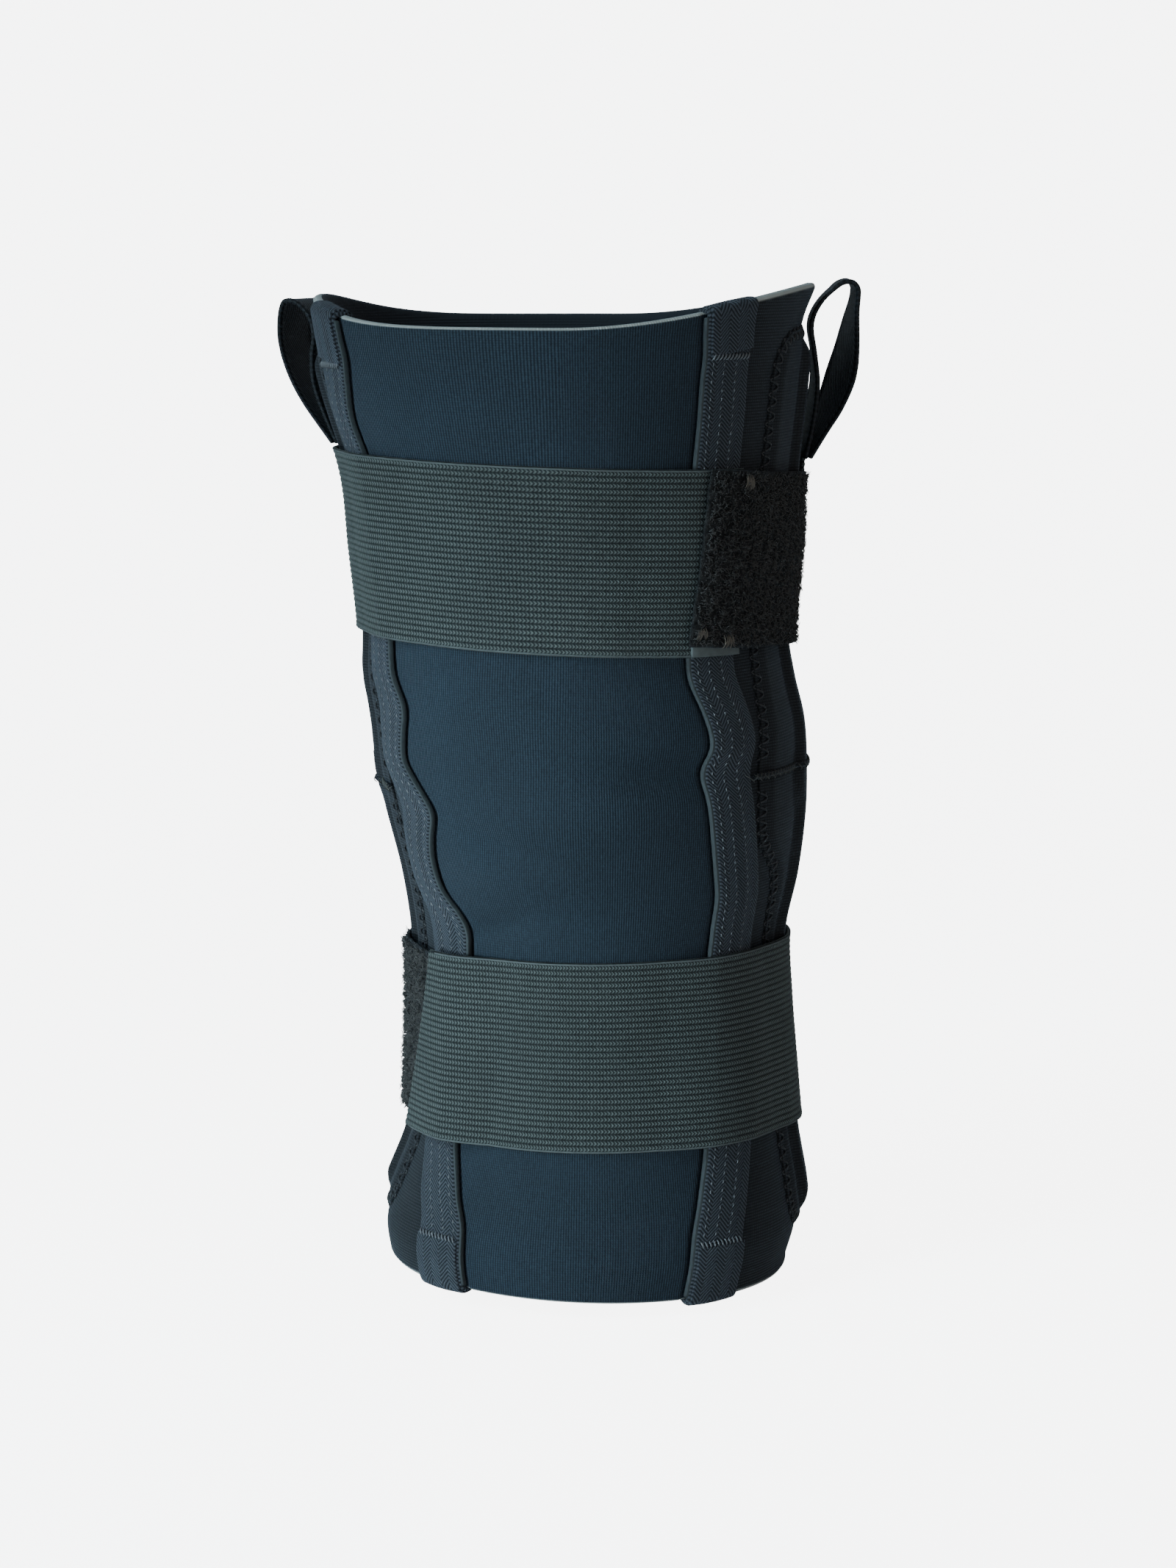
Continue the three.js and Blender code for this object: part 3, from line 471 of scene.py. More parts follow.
def finish_cloth(tree, out, height, dark, light, depth, fuzz):
    """Colour and normal from a height: painted shade in the hollows, painted highlight on the crests, and
    blotched.
    """
    grain = noise(tree, 1400, 3)
    raised = calc(tree, "MULTIPLY_ADD", calc(tree, "SUBTRACT", grain, 0.5), fuzz, height)
    # Dark in the hollows and Light on the crests: painted shade and painted highlight of the ribs, loops and
    # tufts
    colour = blend_colour(tree, add(tree, "ShaderNodeClamp", raised).outputs[0], dark, light)
    patch = calc(tree, "MULTIPLY_ADD", noise(tree, 30, 4), 0.5, 0.75)
    scaled = add(tree, "ShaderNodeVectorMath", colour, operation="SCALE")
    tree.links.new(patch, scaled.inputs["Scale"])
    tree.links.new(scaled.outputs[0], out["Color"])
    bump = add(tree, "ShaderNodeBump")
    bump.inputs["Strength"].default_value = 1.0
    tree.links.new(depth, bump.inputs["Distance"])
    tree.links.new(raised, bump.inputs["Height"])
    tree.links.new(bump.outputs[0], out["Normal"])


# %% [markdown]
# The knit is a wave across cut by a finer one along, the tape a herringbone, the elastic a row of
# loops on each rib, and the pile two noises. All of them end in `finish_cloth`.

# %% Effects
SHADES = [("Dark", "Color", (0, 0, 0, 1)), ("Light", "Color", (1, 1, 1, 1)), ("Depth", "Float", 0.0002),
          ("Fuzz", "Float", 0.5)]
MADE = [("Color", "Color"), ("Normal", "Vector")]


def ribs_group():
    """Waves across, leaning by the slant, times part of a wave along."""
    sizes = [("Across", "Float", 1.2), ("Along", "Float", 1.0), ("Slant", "Float", 0.0)]
    tree, given, out = group("ribs", [*sizes, *SHADES], MADE)
    x, y, _ = cloth_axes(tree)
    leaning = calc(tree, "MULTIPLY_ADD", y, given["Slant"], x)
    rib = wave(tree, leaning, given["Across"])
    course = calc(tree, "MULTIPLY_ADD", wave(tree, y, given["Along"]), 0.35, 0.65)
    finish_cloth(tree, out, calc(tree, "MULTIPLY", rib, course), given["Dark"], given["Light"],
                 given["Depth"], given["Fuzz"])
    return tree


def herringbone_group():
    """Diagonal ribs whose lean turns back at each column, as a triangle wave across does."""
    sizes = [("Column", "Float", 3.6), ("Pitch", "Float", 1.25)]
    tree, given, out = group("herringbone", [*sizes, *SHADES], MADE)
    x, y, _ = cloth_axes(tree)
    zig = calc(tree, "PINGPONG", x, given["Column"])
    rib = wave(tree, calc(tree, "ADD", y, zig), given["Pitch"])
    finish_cloth(tree, out, rib, given["Dark"], given["Light"], given["Depth"], given["Fuzz"])
    return tree


def loops_group():
    """Slanted loops along each rib of an elastic, which lie the other way on every other rib."""
    sizes = [("Rib", "Float", 1.9), ("Loop", "Float", 1.17)]
    tree, given, out = group("elastic_loops", [*sizes, *SHADES], MADE)
    x, y, _ = cloth_axes(tree)
    rib = wave(tree, y, given["Rib"])
    lean = calc(tree, "PINGPONG", y, calc(tree, "DIVIDE", given["Rib"], 2.0))
    loop = wave(tree, calc(tree, "MULTIPLY_ADD", lean, 0.9, x), given["Loop"])
    round_rib = calc(tree, "POWER", rib, 0.6)
    height = calc(tree, "MULTIPLY", round_rib, calc(tree, "MULTIPLY_ADD", loop, 0.95, 0.10))
    finish_cloth(tree, out, height, given["Dark"], given["Light"], given["Depth"], given["Fuzz"])
    return tree


def pile_group():
    """Two noises, one of tufts and one of single hairs, multiplied."""
    tree, given, out = group("pile", SHADES, MADE)
    tufts = calc(tree, "MULTIPLY_ADD", noise(tree, 420, 2), 3.0, -1.0)
    height = calc(tree, "MULTIPLY", tufts, noise(tree, 1900, 2))
    finish_cloth(tree, out, height, given["Dark"], given["Light"], given["Depth"], given["Fuzz"])
    return tree


GROUPS = {"ribs": ribs_group(), "herringbone": herringbone_group(), "loops": loops_group(),
          "pile": pile_group()}
print("groups", [g.name for g in GROUPS.values()])

# %% [markdown]
# A cloth's material puts one effect on its face and, where it is foam, the foam's colour on the
# cut rim and the lining's on the inside, by the third value of `cloth`. Thread, fibre and steel
# are plain finishes, mottled a little by noise.

# %% Materials
FOAM = (0.300, 0.310, 0.290, 1)
LINING = (0.020, 0.024, 0.030, 1)


def between(tree, value, low, high):
    """1 where low < value < high, with soft edges."""
    rise = add(tree, "ShaderNodeMapRange", value, low - 0.04, low + 0.04).outputs[0]
    drop = add(tree, "ShaderNodeMapRange", value, high - 0.04, high + 0.04, 1.0, 0.0).outputs[0]
    return calc(tree, "MULTIPLY", rise, drop)


BLUE_SHEEN = (0.55, 0.68, 0.85, 1)


def cloth_material(name, effect, values, dark, light, depth, fuzz=0.5, roughness=0.85, sheen=0.12,
                   foam=False, tint=BLUE_SHEEN):
    """Principled material fed by one effect group, with foam on its rim where asked."""
    material = bpy.data.materials.new(name)
    material.use_nodes = True
    tree = material.node_tree
    shader = next(n for n in tree.nodes if n.type == "BSDF_PRINCIPLED")
    node = tree.nodes.new("ShaderNodeGroup")
    node.node_tree = GROUPS[effect]
    shades = {"Dark": (*dark, 1), "Light": (*light, 1), "Depth": depth, "Fuzz": fuzz}
    for label, value in {**values, **shades}.items():
        node.inputs[label].default_value = value
    colour = node.outputs["Color"]
    if foam:
        layer = cloth_axes(tree)[2]
        colour = blend_colour(tree, between(tree, layer, 0.06, 0.9), colour, FOAM)
        colour = blend_colour(tree, between(tree, layer, 0.88, 2.0), colour, LINING)
    tree.links.new(colour, shader.inputs["Base Color"])
    tree.links.new(node.outputs["Normal"], shader.inputs["Normal"])
    shader.inputs["Roughness"].default_value = roughness
    shader.inputs["Specular IOR Level"].default_value = 0.25
    shader.inputs["Sheen Weight"].default_value = sheen
    shader.inputs["Sheen Roughness"].default_value = 0.4
    shader.inputs["Sheen Tint"].default_value = tint
    return material


def plain_material(name, colour, roughness, metallic=0.0):
    material = bpy.data.materials.new(name)
    material.use_nodes = True
    tree = material.node_tree
    shader = next(n for n in tree.nodes if n.type == "BSDF_PRINCIPLED")
    tone = calc(tree, "MULTIPLY_ADD", noise(tree, 500, 3), 0.5, 0.75)
    scaled = add(tree, "ShaderNodeVectorMath", operation="SCALE")
    scaled.inputs[0].default_value = colour
    tree.links.new(tone, scaled.inputs["Scale"])
    tree.links.new(scaled.outputs[0], shader.inputs["Base Color"])
    shader.inputs["Roughness"].default_value = roughness
    shader.inputs["Metallic"].default_value = metallic
    return material


front_cloth = cloth_material(
    "front_cloth", "ribs", {"Across": 0.85, "Along": 0.75}, (0.0022, 0.0050, 0.0090),
    (0.0165, 0.0300, 0.0430), 0.00014, fuzz=1.0, foam=True)
side_cloth = cloth_material(
    "side_cloth", "ribs", {"Across": 0.95, "Along": 1.1}, (0.0030, 0.0036, 0.0046),
    (0.0145, 0.0165, 0.0195), 0.00014, foam=True)
pocket_cloth = cloth_material(
    "pocket_cloth", "ribs", {"Across": 0.95, "Along": 1.1}, (0.0028, 0.0032, 0.0040),
    (0.0135, 0.0145, 0.0165), 0.00014)
tape_cloth = cloth_material(
    "tape_cloth", "herringbone", {}, (0.0025, 0.0034, 0.0050), (0.0440, 0.0500, 0.0600), 0.00025, fuzz=0.35)
elastic_cloth = cloth_material(
    "elastic_cloth", "loops", {}, (0.0035, 0.0045, 0.0048), (0.0780, 0.0940, 0.0900), 0.00030, fuzz=0.4,
    tint=(0.7, 0.8, 0.75, 1))
pile_cloth = cloth_material(
    "pile_cloth", "pile", {}, (0.0015, 0.0015, 0.0016), (0.0260, 0.0245, 0.0230), 0.0008, fuzz=1.0,
    roughness=0.95, sheen=0.05)
webbing_cloth = cloth_material(
    "webbing_cloth", "ribs", {"Across": 1.5, "Along": 0.8, "Slant": 0.8}, (0.0010, 0.0013, 0.0018),
    (0.0085, 0.0105, 0.0140), 0.00018, fuzz=0.25, roughness=0.65, sheen=0.04)
thread_black = plain_material("thread_black", (0.004, 0.005, 0.007), 0.55)
thread_grey = plain_material("thread_grey", (0.095, 0.100, 0.108), 0.6)
thread_brown = plain_material("thread_brown", (0.034, 0.034, 0.030), 0.7)
tack_brown = plain_material("tack_brown", (0.075, 0.062, 0.048), 0.7)
fibre = plain_material("fibre", (0.036, 0.034, 0.032), 0.8)
foam_edge = plain_material("foam_edge", (0.022, 0.028, 0.030), 0.9)
selvedge = plain_material("selvedge", (0.050, 0.060, 0.060), 0.7)
steel = plain_material("steel", (0.33, 0.34, 0.35), 0.35, 1.0)
for side in ("left", "right"):
    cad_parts[f"hinge_{side}"].material_slots[0].material = steel
print("materials", sorted(m.name for m in bpy.data.materials))

# %% [markdown]
# ## The sleeve
# The real sleeve is two cuts of foam faced with knit, and the foam shows at the hems as a pale
# line. One tube with a drawn seam would hide that. Each panel is its own slab between its two
# seams and hems, and the front one dips beside the tapes, where sewing presses the foam.

# %% Panels
MM_PER_DEGREE = 1.2


def laid(angle, z, outer, inner, **rim):
    """Slab on the sleeve between two lifts, with cloth axes of angle and height."""
    return slab(skin(angle, z, outer), skin(angle, z, inner), angle * MM_PER_DEGREE, z, **rim)


def panel(word, from_side, to_side, turn, columns, rows, material):
    """Grid of angles between two seams and heights between the hems, closer set at the seams."""
    share = np.linspace(-1, 1, rows)[:, None]
    across = np.linspace(0, 1, columns)[None]
    across = 0.4 * across + 0.6 * (0.5 - 0.5 * np.cos(np.pi * across))
    start = seam(from_side, share) + 0.15
    end = seam(to_side, share) + turn - 0.15
    angle = start + (end - start) * across
    z = height_at(angle, share)
    dip = 0.0
    if not turn:
        for side in (-1, 1):
            away = side * (tape_edge(side, share, -1) - angle) / degrees_for(1.0, angle, z) - 0.8
            dip = dip - 1.0 * np.exp(-(np.maximum(away, 0) / 0.8) ** 2)
    points, faces, cloth = laid(angle, z, dip, -WALL, bevel=2.0 if turn else 1.1)
    if turn:
        cloth = cloth[:, [1, 0, 2]]
    piece(f"{word}_cloth_panel", points, faces, material, "neoprene", cloth, [f"{word}_panel"])


panel("front", -1, 1, 0, 120, 180, front_cloth)
panel("back", 1, -1, 360, 150, 150, side_cloth)

# %% [markdown]
# ## Tapes
# Each real tape is one woven strip that binds a seam and is turned in over both hems. A bevelled
# curve would cut through the hem's corner. So the tape's path runs in height and stand: down
# inside the bottom hem, round it, up the outside, over the top hem and down inside. The turn is a
# squared arc, which clears the corner.

# %% Stay tapes
def tape_path(side, inset=0.0):
    """Heights, stands and their unit normals along a tape, as arrays."""
    top = float(top_hem(seam(side, 1.0)))
    bottom = -float(bottom_hem(seam(side, -1.0)))
    outside, inside = GAP + TAPE_THICK / 2, -WALL - GAP - TAPE_THICK / 2
    radius = (outside - inside) / 2
    turn = np.linspace(0, np.pi, 19)
    up, out = np.abs(np.sin(turn)) ** 0.7, np.sign(np.cos(turn)) * np.abs(np.cos(turn)) ** 0.7
    bend = np.stack([up * radius - radius + outside, out * radius + (outside + inside) / 2], -1)
    over = bend + [top, 0]
    under = bend[::-1] * [-1, 1] + [bottom, 0]
    line = lambda a, b, n: np.linspace(a, b, n)[1:-1]
    path = np.concatenate([
        line([bottom + TAPE_TURN, inside], under[0], 9), under, line(under[-1], over[0], 170), over,
        line(over[-1], [top - TAPE_TURN, inside], 9)])
    run = np.gradient(path, axis=0)
    run /= np.linalg.norm(run, axis=1, keepdims=True)
    return path, np.stack([-run[:, 1], run[:, 0]], -1)


def on_tape(side, path, across):
    """Angle of a place on the tape, from its height and its distance from the seam in mm."""
    share = np.clip(share_at(seam(side, 0.0), path[:, 0]), -1, 1)
    share = np.where(path[:, 0] > 0, np.clip(path[:, 0] / top_hem(seam(side, 1.0)), 0, 1), share)
    centre = seam(side, share)[:, None]
    z = np.clip(path[:, 0], -SHIN, THIGH)[:, None]
    return centre + across * degrees_for(1.0, centre, z)


def stay_tape(side, name):
    """Strip along the tape's path, thicker in its middle by a quarter millimetre."""
    path, normal = tape_path(side)
    across = np.linspace(-TAPE_WIDTH / 2 + 0.6, TAPE_WIDTH / 2 - 0.6, 19)[None]
    angle = on_tape(side, path, across)
    crown = 0.25 * np.cos(np.pi * across / TAPE_WIDTH)
    half = TAPE_THICK / 2 - 0.25 + crown
    top = top_hem(seam(side, 1.0))
    slope = np.maximum(path[:, :1], 0) / top * (top_hem(angle) - top)
    up, out = normal[:, :1] * half, normal[:, 1:] * half
    faces = [skin(angle, path[:, :1] + slope + way * up, path[:, 1:] + way * out) for way in (1, -1)]
    length = np.concatenate([[0], np.cumsum(np.linalg.norm(np.diff(path, axis=0), axis=1))])[:, None]
    points, quads, cloth = slab(*faces, across + 9, length, edge="round")
    piece(f"{name}_cloth", points, quads, tape_cloth, "tape", cloth, [name])


stay_tape(-1, "stay_tape_left")
stay_tape(1, "stay_tape_right")

# %% [markdown]
# ## Pockets
# A real pocket is thin cloth, pressed flat where it is sewn and standing over the bar between. A
# cloth simulation could find that form. A smooth step over the bar's edge gives it at once, and
# keeps the cloth off the bar. The outer end has round corners, and the bar ends 12 mm before it.

# %% Hinge pockets
def pocket_end(side, upper):
    """Height of a pocket's outer end at an angle, as a function."""
    if upper:
        return lambda angle: top_hem(angle) - POCKET_TOP
    return lambda angle: POCKET_BOTTOM - bottom_hem(angle)


def pocket_place(side, upper, along, across):
    """Angle and height at shares of the way to the outer end and from the front edge back."""
    slit = SLIT[side] + (0.4 if upper else -0.4)
    end = pocket_end(side, upper)
    far = end(side * HINGE_ANGLE)
    z = slit + (far - slit) * along
    depth = np.minimum(np.abs(far - z), POCKET_CORNER)
    inset = POCKET_CORNER - np.sqrt(np.maximum(0, POCKET_CORNER**2 - (POCKET_CORNER - depth) ** 2))
    inset = degrees_for(inset, side * HINGE_ANGLE, z)
    share = share_at(side * HINGE_ANGLE, z)
    front = side * pocket_edge(side, share, -1) + inset
    back = side * pocket_edge(side, share, 1) - inset
    angle = side * (front + (back - front) * across)
    return angle, slit + (end(angle) - slit) * along


def pocket_lift(side, upper, angle, z):
    """Stand of the pocket's underside: over the bar inside, and down on the sleeve at the edges."""
    over = 1 - smooth((off_bar(side, angle, z) - 0.6) / 4.2)
    room = np.abs(pocket_end(side, upper)(angle) - z)
    return 0.1 + (BAR_TOP + GAP - 0.1) * over * smooth((room - 1.5) / 9)


PRESSED = 0.8  # thickness of the cloth where it is sewn down


def pocket(side, upper, name):
    """Slab from the slit to the outer end, thinner within 6 mm of its sewn edges."""
    along = (1 - (1 - np.linspace(0, 1, 80)) ** 1.5)[:, None]
    across = np.linspace(0, 1, 60)[None]
    angle, z = pocket_place(side, upper, along, across)
    if not upper:
        angle, z = angle[::-1], z[::-1]
    if side < 0:
        angle, z = angle[:, ::-1], z[:, ::-1]
    lift = pocket_lift(side, upper, angle, z)
    scale = degrees_for(1.0, side * HINGE_ANGLE, z)
    edge = np.minimum(np.abs(angle - angle[:, :1]), np.abs(angle - angle[:, -1:])) / scale
    edge = np.minimum(edge, np.abs(pocket_end(side, upper)(angle) - z))
    wall = PRESSED + (POCKET_WALL - PRESSED) * smooth((edge - 1) / 6)
    points, faces, cloth = laid(angle, z, lift + wall, lift, bevel=0.3)
    piece(f"{name}_cloth", points, faces, pocket_cloth, "pocket_cloth", cloth[:, [1, 0, 2]], [name])


for side, word in ((-1, "left"), (1, "right")):
    pocket(side, True, f"hinge_pocket_{word}_upper")
    pocket(side, False, f"hinge_pocket_{word}_lower")

# %% [markdown]
# ## Straps and pads
# The real straps are ribbed elastic pulled taut, so they bridge the steps of the layers beneath.
# Laying them on the cloth would make them dip at every edge. Instead a band's stand is worked out
# on a table of angles: the highest layer within reach, then a mean over that reach.

# %% Straps and pads
TURN = np.arange(-280, 280.25, 0.5)
RIB = 1.9


def taut(field, reach=8.0):
    """Sliding highest value over twice the reach, then the sliding mean over it, by angle."""
    half = int(reach / 0.5)
    for pick in (np.max, np.mean):
        padded = np.pad(field, ((0, 0), (half, half)), mode="edge")
        field = pick(np.lib.stride_tricks.sliding_window_view(padded, 2 * half + 1, axis=1), axis=-1)
    return field + GAP


# %% [markdown]
# Each band is a top edge, a width, a number of ribs and two ends. The upper strap is sewn on under
# the upper pad in front, runs round the back and grips the pad's far end. The lower strap starts
# on the lower pad and is sewn on at the right.

# %% Where the bands run
UPPER_SEWN, UPPER_GRIP = 53.0, -246.0
UPPER_PAD_FRONT, UPPER_PAD_BACK = (41.0, 36.0), 126.0
LOWER_PAD_FRONT, LOWER_PAD_BACK = -43.0, -124.0


def upper_top(angle):
    return THIGH - 42.5 - 2.0 * np.sin(np.radians(angle))


def lower_top(angle):
    return 48.0 - SHIN + 61.5 + 0 * angle


def upper_pad_top(angle):
    return upper_top(angle) - 6.0 * (angle - UPPER_PAD_FRONT[0]) / 85.0


def lower_pad_top(angle):
    return lower_top(angle) - 2.5


BANDS = {  # top edge, width, ribs, first angle, last angle at the top and at the bottom
    "upper_strap": (upper_top, 58.5, 31, (UPPER_GRIP, UPPER_GRIP), (UPPER_SEWN, UPPER_SEWN)),
    "lower_strap": (lower_top, 61.5, 32, (-49.0, -65.5), (250.0, 250.0)),
    "upper_pad": (upper_pad_top, 55.0, 29, UPPER_PAD_FRONT, (UPPER_PAD_BACK, UPPER_PAD_BACK)),
    "lower_pad": (lower_pad_top, 56.5, 29, (LOWER_PAD_BACK, LOWER_PAD_BACK),
                  (LOWER_PAD_FRONT, LOWER_PAD_FRONT))}


def band_under(name, share):
    """Stand of a band's underside on TURN, at shares of its width down from its top edge."""
    top, width = BANDS[name][:2]
    z = top(TURN)[None] - share[:, None] * width
    layers = layers_top(TURN[None], z)
    over = STRAP_THICK + 0.3
    if name == "upper_pad":
        return taut(np.where(TURN < UPPER_SEWN, taut(layers) + over, layers))
    if name == "lower_pad":
        return taut(np.where(TURN < -110, taut(layers) + over, layers))
    if name == "upper_strap":
        pad_on = TURN < -234
    else:
        pad_on = (TURN < LOWER_PAD_FRONT) & (TURN > LOWER_PAD_BACK)
    return taut(np.where(pad_on, taut(layers) + PAD_THICK + PILE + over * (name == "upper_strap"), layers))


def band_grid(name, columns, rows):
    """Angles, heights, undersides, mm along and mm across of a band's grid."""
    top, width, count, first, last = BANDS[name]
    share = np.linspace(1, 0, rows)
    start = first[0] + (first[1] - first[0]) * share
    end = last[0] + (last[1] - last[0]) * share
    angle = start[:, None] + (end - start)[:, None] * np.linspace(0, 1, columns)[None]
    z = top(angle) - share[:, None] * width
    table = band_under(name, share)
    under = np.stack([np.interp(a, TURN, row) for a, row in zip(angle, table)])
    return angle, z, under, angle * MM_PER_DEGREE, (1 - share)[:, None] * count * RIB


# %% [markdown]
# The elastic's ribs stand 0.28 mm proud, so they are in the mesh, and its woven edges are thin
# rolls. A pad's face is lumpy, and its fibres come later.

# %% Straps and pads laid
def strap(name, columns):
    """Slab with a rounded wave across it for the ribs, and a tube along each edge."""
    count = BANDS[name][2]
    angle, z, under, along, across = band_grid(name, columns, count * 4 + 1)
    rib = 0.28 * (0.5 - 0.5 * np.cos(2 * np.pi * across / RIB)) ** 0.6
    outer, inner = skin(angle, z, under + STRAP_THICK - 0.25 + rib), skin(angle, z, under)
    points, faces, cloth = slab(outer, inner, along, across + RIB / 2, edge="round")
    piece(f"{name}_cloth", points, faces, elastic_cloth, "elastic", cloth, [name])
    edges = outer[[0, -1], 2:-2] + 0.05 * outward(angle[[0, -1], 2:-2], z[[0, -1], 2:-2])
    points, faces = tubes(edges, outward(angle[[0, -1], 2:-2], z[[0, -1], 2:-2]), 0.3, 6)
    piece(f"{name}_selvedge", points, faces, selvedge, "elastic")


def pad(name, columns, rows):
    """Slab whose outer face is raised by lumps."""
    angle, z, under, along, across = band_grid(name, columns, rows)
    lump = 0.35 * lumps(angle * MM_PER_DEGREE, z, 5)
    outer, inner = skin(angle, z, under + PAD_THICK - 0.6 + lump), skin(angle, z, under)
    points, faces, cloth = slab(outer, inner, along, across, edge="round")
    piece(f"{name}_cloth", points, faces, pile_cloth, "pile", cloth, [name])


strap("upper_strap", 230)
strap("lower_strap", 220)
pad("upper_pad", 130, 80)
pad("lower_pad", 130, 80)

# %% [markdown]
# ## Pull loops
# A real loop is a length of webbing, doubled and sewn at its foot, that stands off the side and
# curls by its own stiffness. Its path runs in height and stand, from the foot above the upper
# strap, up, over and back. A table of places keeps the curl as it is in the photo, which a
# simulation would not.

# %% Pull loops
def loop_path(side, along):
    """Stand and height along a loop, from the table's shares of its length and its reach."""
    length, reach = LOOP[side][:2]
    get = lambda column: curve(LOOP_RUN, column, along)
    seat = POCKET_HIGH + GAP + WEBBING_THICK / 2
    stand = seat + get(2) * reach + get(3) * (WEBBING_THICK + GAP)
    return np.stack([stand, upper_top(side * LOOP_ANGLE) + 1.5 + get(1) * length], -1)


def pull_loop(side, name):
    """Webbing along the path, whose level edge-to-edge line turns by the twist."""
    angle = side * LOOP_ANGLE
    along = np.linspace(0, 1, 110)
    path = loop_path(side, along)
    run = loop_path(side, np.minimum(1, along + 0.005)) - loop_path(side, np.maximum(0, along - 0.005))
    run /= np.linalg.norm(run, axis=1, keepdims=True)
    foot = path[0, 1]
    level = skin(angle + 1, foot) - skin(angle - 1, foot)
    level /= np.linalg.norm(level)
    twist = np.radians(side * LOOP[side][2]) * curve(LOOP_RUN, 4, along)
    c, s = np.cos(twist), np.sin(twist)
    level = np.stack([c * level[0] - s * level[1], s * level[0] + c * level[1], 0 * c], -1)
    across = np.linspace(-WEBBING / 2 + 0.6, WEBBING / 2 - 0.6, 25)
    edge = 0.35 * np.exp(-((np.abs(across) - WEBBING / 2 + 1.2) / 0.7) ** 2)
    faces = []
    for way in (1, -1):
        half = WEBBING_THICK / 2 - 0.12 + edge[None]
        stand = path[:, :1] + way * run[:, 1:] * half
        z = path[:, 1:] - way * run[:, :1] * half
        faces.append(skin(angle, z, stand) + across[None, :, None] * level[:, None])
    length = np.concatenate([[0], np.cumsum(np.linalg.norm(np.diff(path, axis=0), axis=1))])
    points, quads, cloth = slab(*faces, across[None] + WEBBING / 2, length[:, None], edge="round")
    piece(f"{name}_webbing", points, quads, webbing_cloth, "webbing", cloth, [name])


pull_loop(-1, "pull_loop_left")
pull_loop(1, "pull_loop_right")

# %% [markdown]
# ## Cut edges and stitches
# The side panel's cut edge shows as a thin line of foam along each tape, with the front panel
# tucked in beneath it. A dark line in the front's material would do from afar. A strip of its own
# also catches the light.

# %% Cut edges along the tapes
def edge_line(side, name):
    """Strip of foam beside the tape's inner edge, from hem to hem."""
    share = np.linspace(-0.995, 0.995, 170)[:, None]
    inner = tape_edge(side, share, -1)
    across = np.linspace(-0.4, 0.8, 5)[None]
    across = across if side > 0 else across[:, ::-1]
    angle = inner - side * across * degrees_for(1.0, inner, height_at(inner, share))
    if side > 0:
        angle = angle[:, ::-1]
    z = height_at(angle, share)
    points, faces, cloth = slab(skin(angle, z, 1.75), skin(angle, z, 0.1), angle, z, bevel=0.2)
    piece(name, points, faces, foam_edge, "neoprene", cloth)


edge_line(-1, "foam_line_left")
edge_line(1, "foam_line_right")

# %% [markdown]
# Sewing thread is thicker than it seems and casts its own small shade, so it is modelled.
# `on_skin` lays many threads at once, each a row of angles, heights and stands. A thread dips
# into the cloth at both ends.

# %% Thread tools
def on_skin(angle, z, lift, radius, sides=6):
    return tubes(skin(angle, z, lift), outward(angle, z), radius, sides)


def stitches(angle_a, z_a, angle_b, z_b, lift, radius=0.22, arch=0.3, steps=6, sides=6):
    """One thread from each a to each b, its stand on a half sine above the lift given."""
    t = np.linspace(0, 1, steps)[None]
    mix = lambda a, b: np.asarray(a)[:, None] * (1 - t) + np.asarray(b)[:, None] * t
    stand = np.broadcast_to(np.reshape(lift, (-1, 1)), (len(angle_a), steps))
    stand = stand + arch * (np.sin(np.pi * t) * 1.6 - 0.6)
    return on_skin(mix(angle_a, angle_b), mix(z_a, z_b), stand, radius, sides)


# %% [markdown]
# Each tape is sewn down by three dotted lines, with a tack row near each hem that holds its
# turned-in end. Outside the tack row the tape has a second ply.

# %% Threads and plies of the tapes
TACK = {(-1, 1): 16.0, (1, 1): 14.0, (-1, -1): 15.0, (1, -1): 17.5}  # (side, hem): mm from the hem


def tape_threads(side, name):
    """Three dotted lines down a tape and a tack row near each hem."""
    top, bottom = float(top_hem(seam(side, 1.0))), -float(bottom_hem(seam(side, -1.0)))
    parts = []
    for across in (-6.9, -2.6, 2.6):
        z = np.arange(bottom + 4, top - 3, 2.7)
        z2 = z + 1.15
        place = lambda h: on_tape(side, np.stack([h, 0 * h], -1), np.array([[side * across]]))[:, 0]
        crown = 0.25 * np.cos(np.pi * across / TAPE_WIDTH)
        parts.append(stitches(place(z), z, place(z2), z2, TAPE_TOP + crown - 0.27, 0.18, 0.16, 5))
    for hem, way in ((top, -1), (bottom, 1)):
        x = np.arange(-7.8, 7.9, 1.45)
        row = hem + way * TACK[side, -way] + 0 * x
        low, high = row + way * 1.3, row - way * 0.9
        place = lambda h: on_tape(side, np.stack([h, 0 * h], -1)[:1], x[None])[0]
        parts.append(stitches(place(low), low, place(high) + 0.9, high, TAPE_TOP + 0.3, 0.3, 0.3, 5))
    piece(name, *together(parts), thread_grey, "tape")


tape_threads(-1, "tape_threads_left")
tape_threads(1, "tape_threads_right")


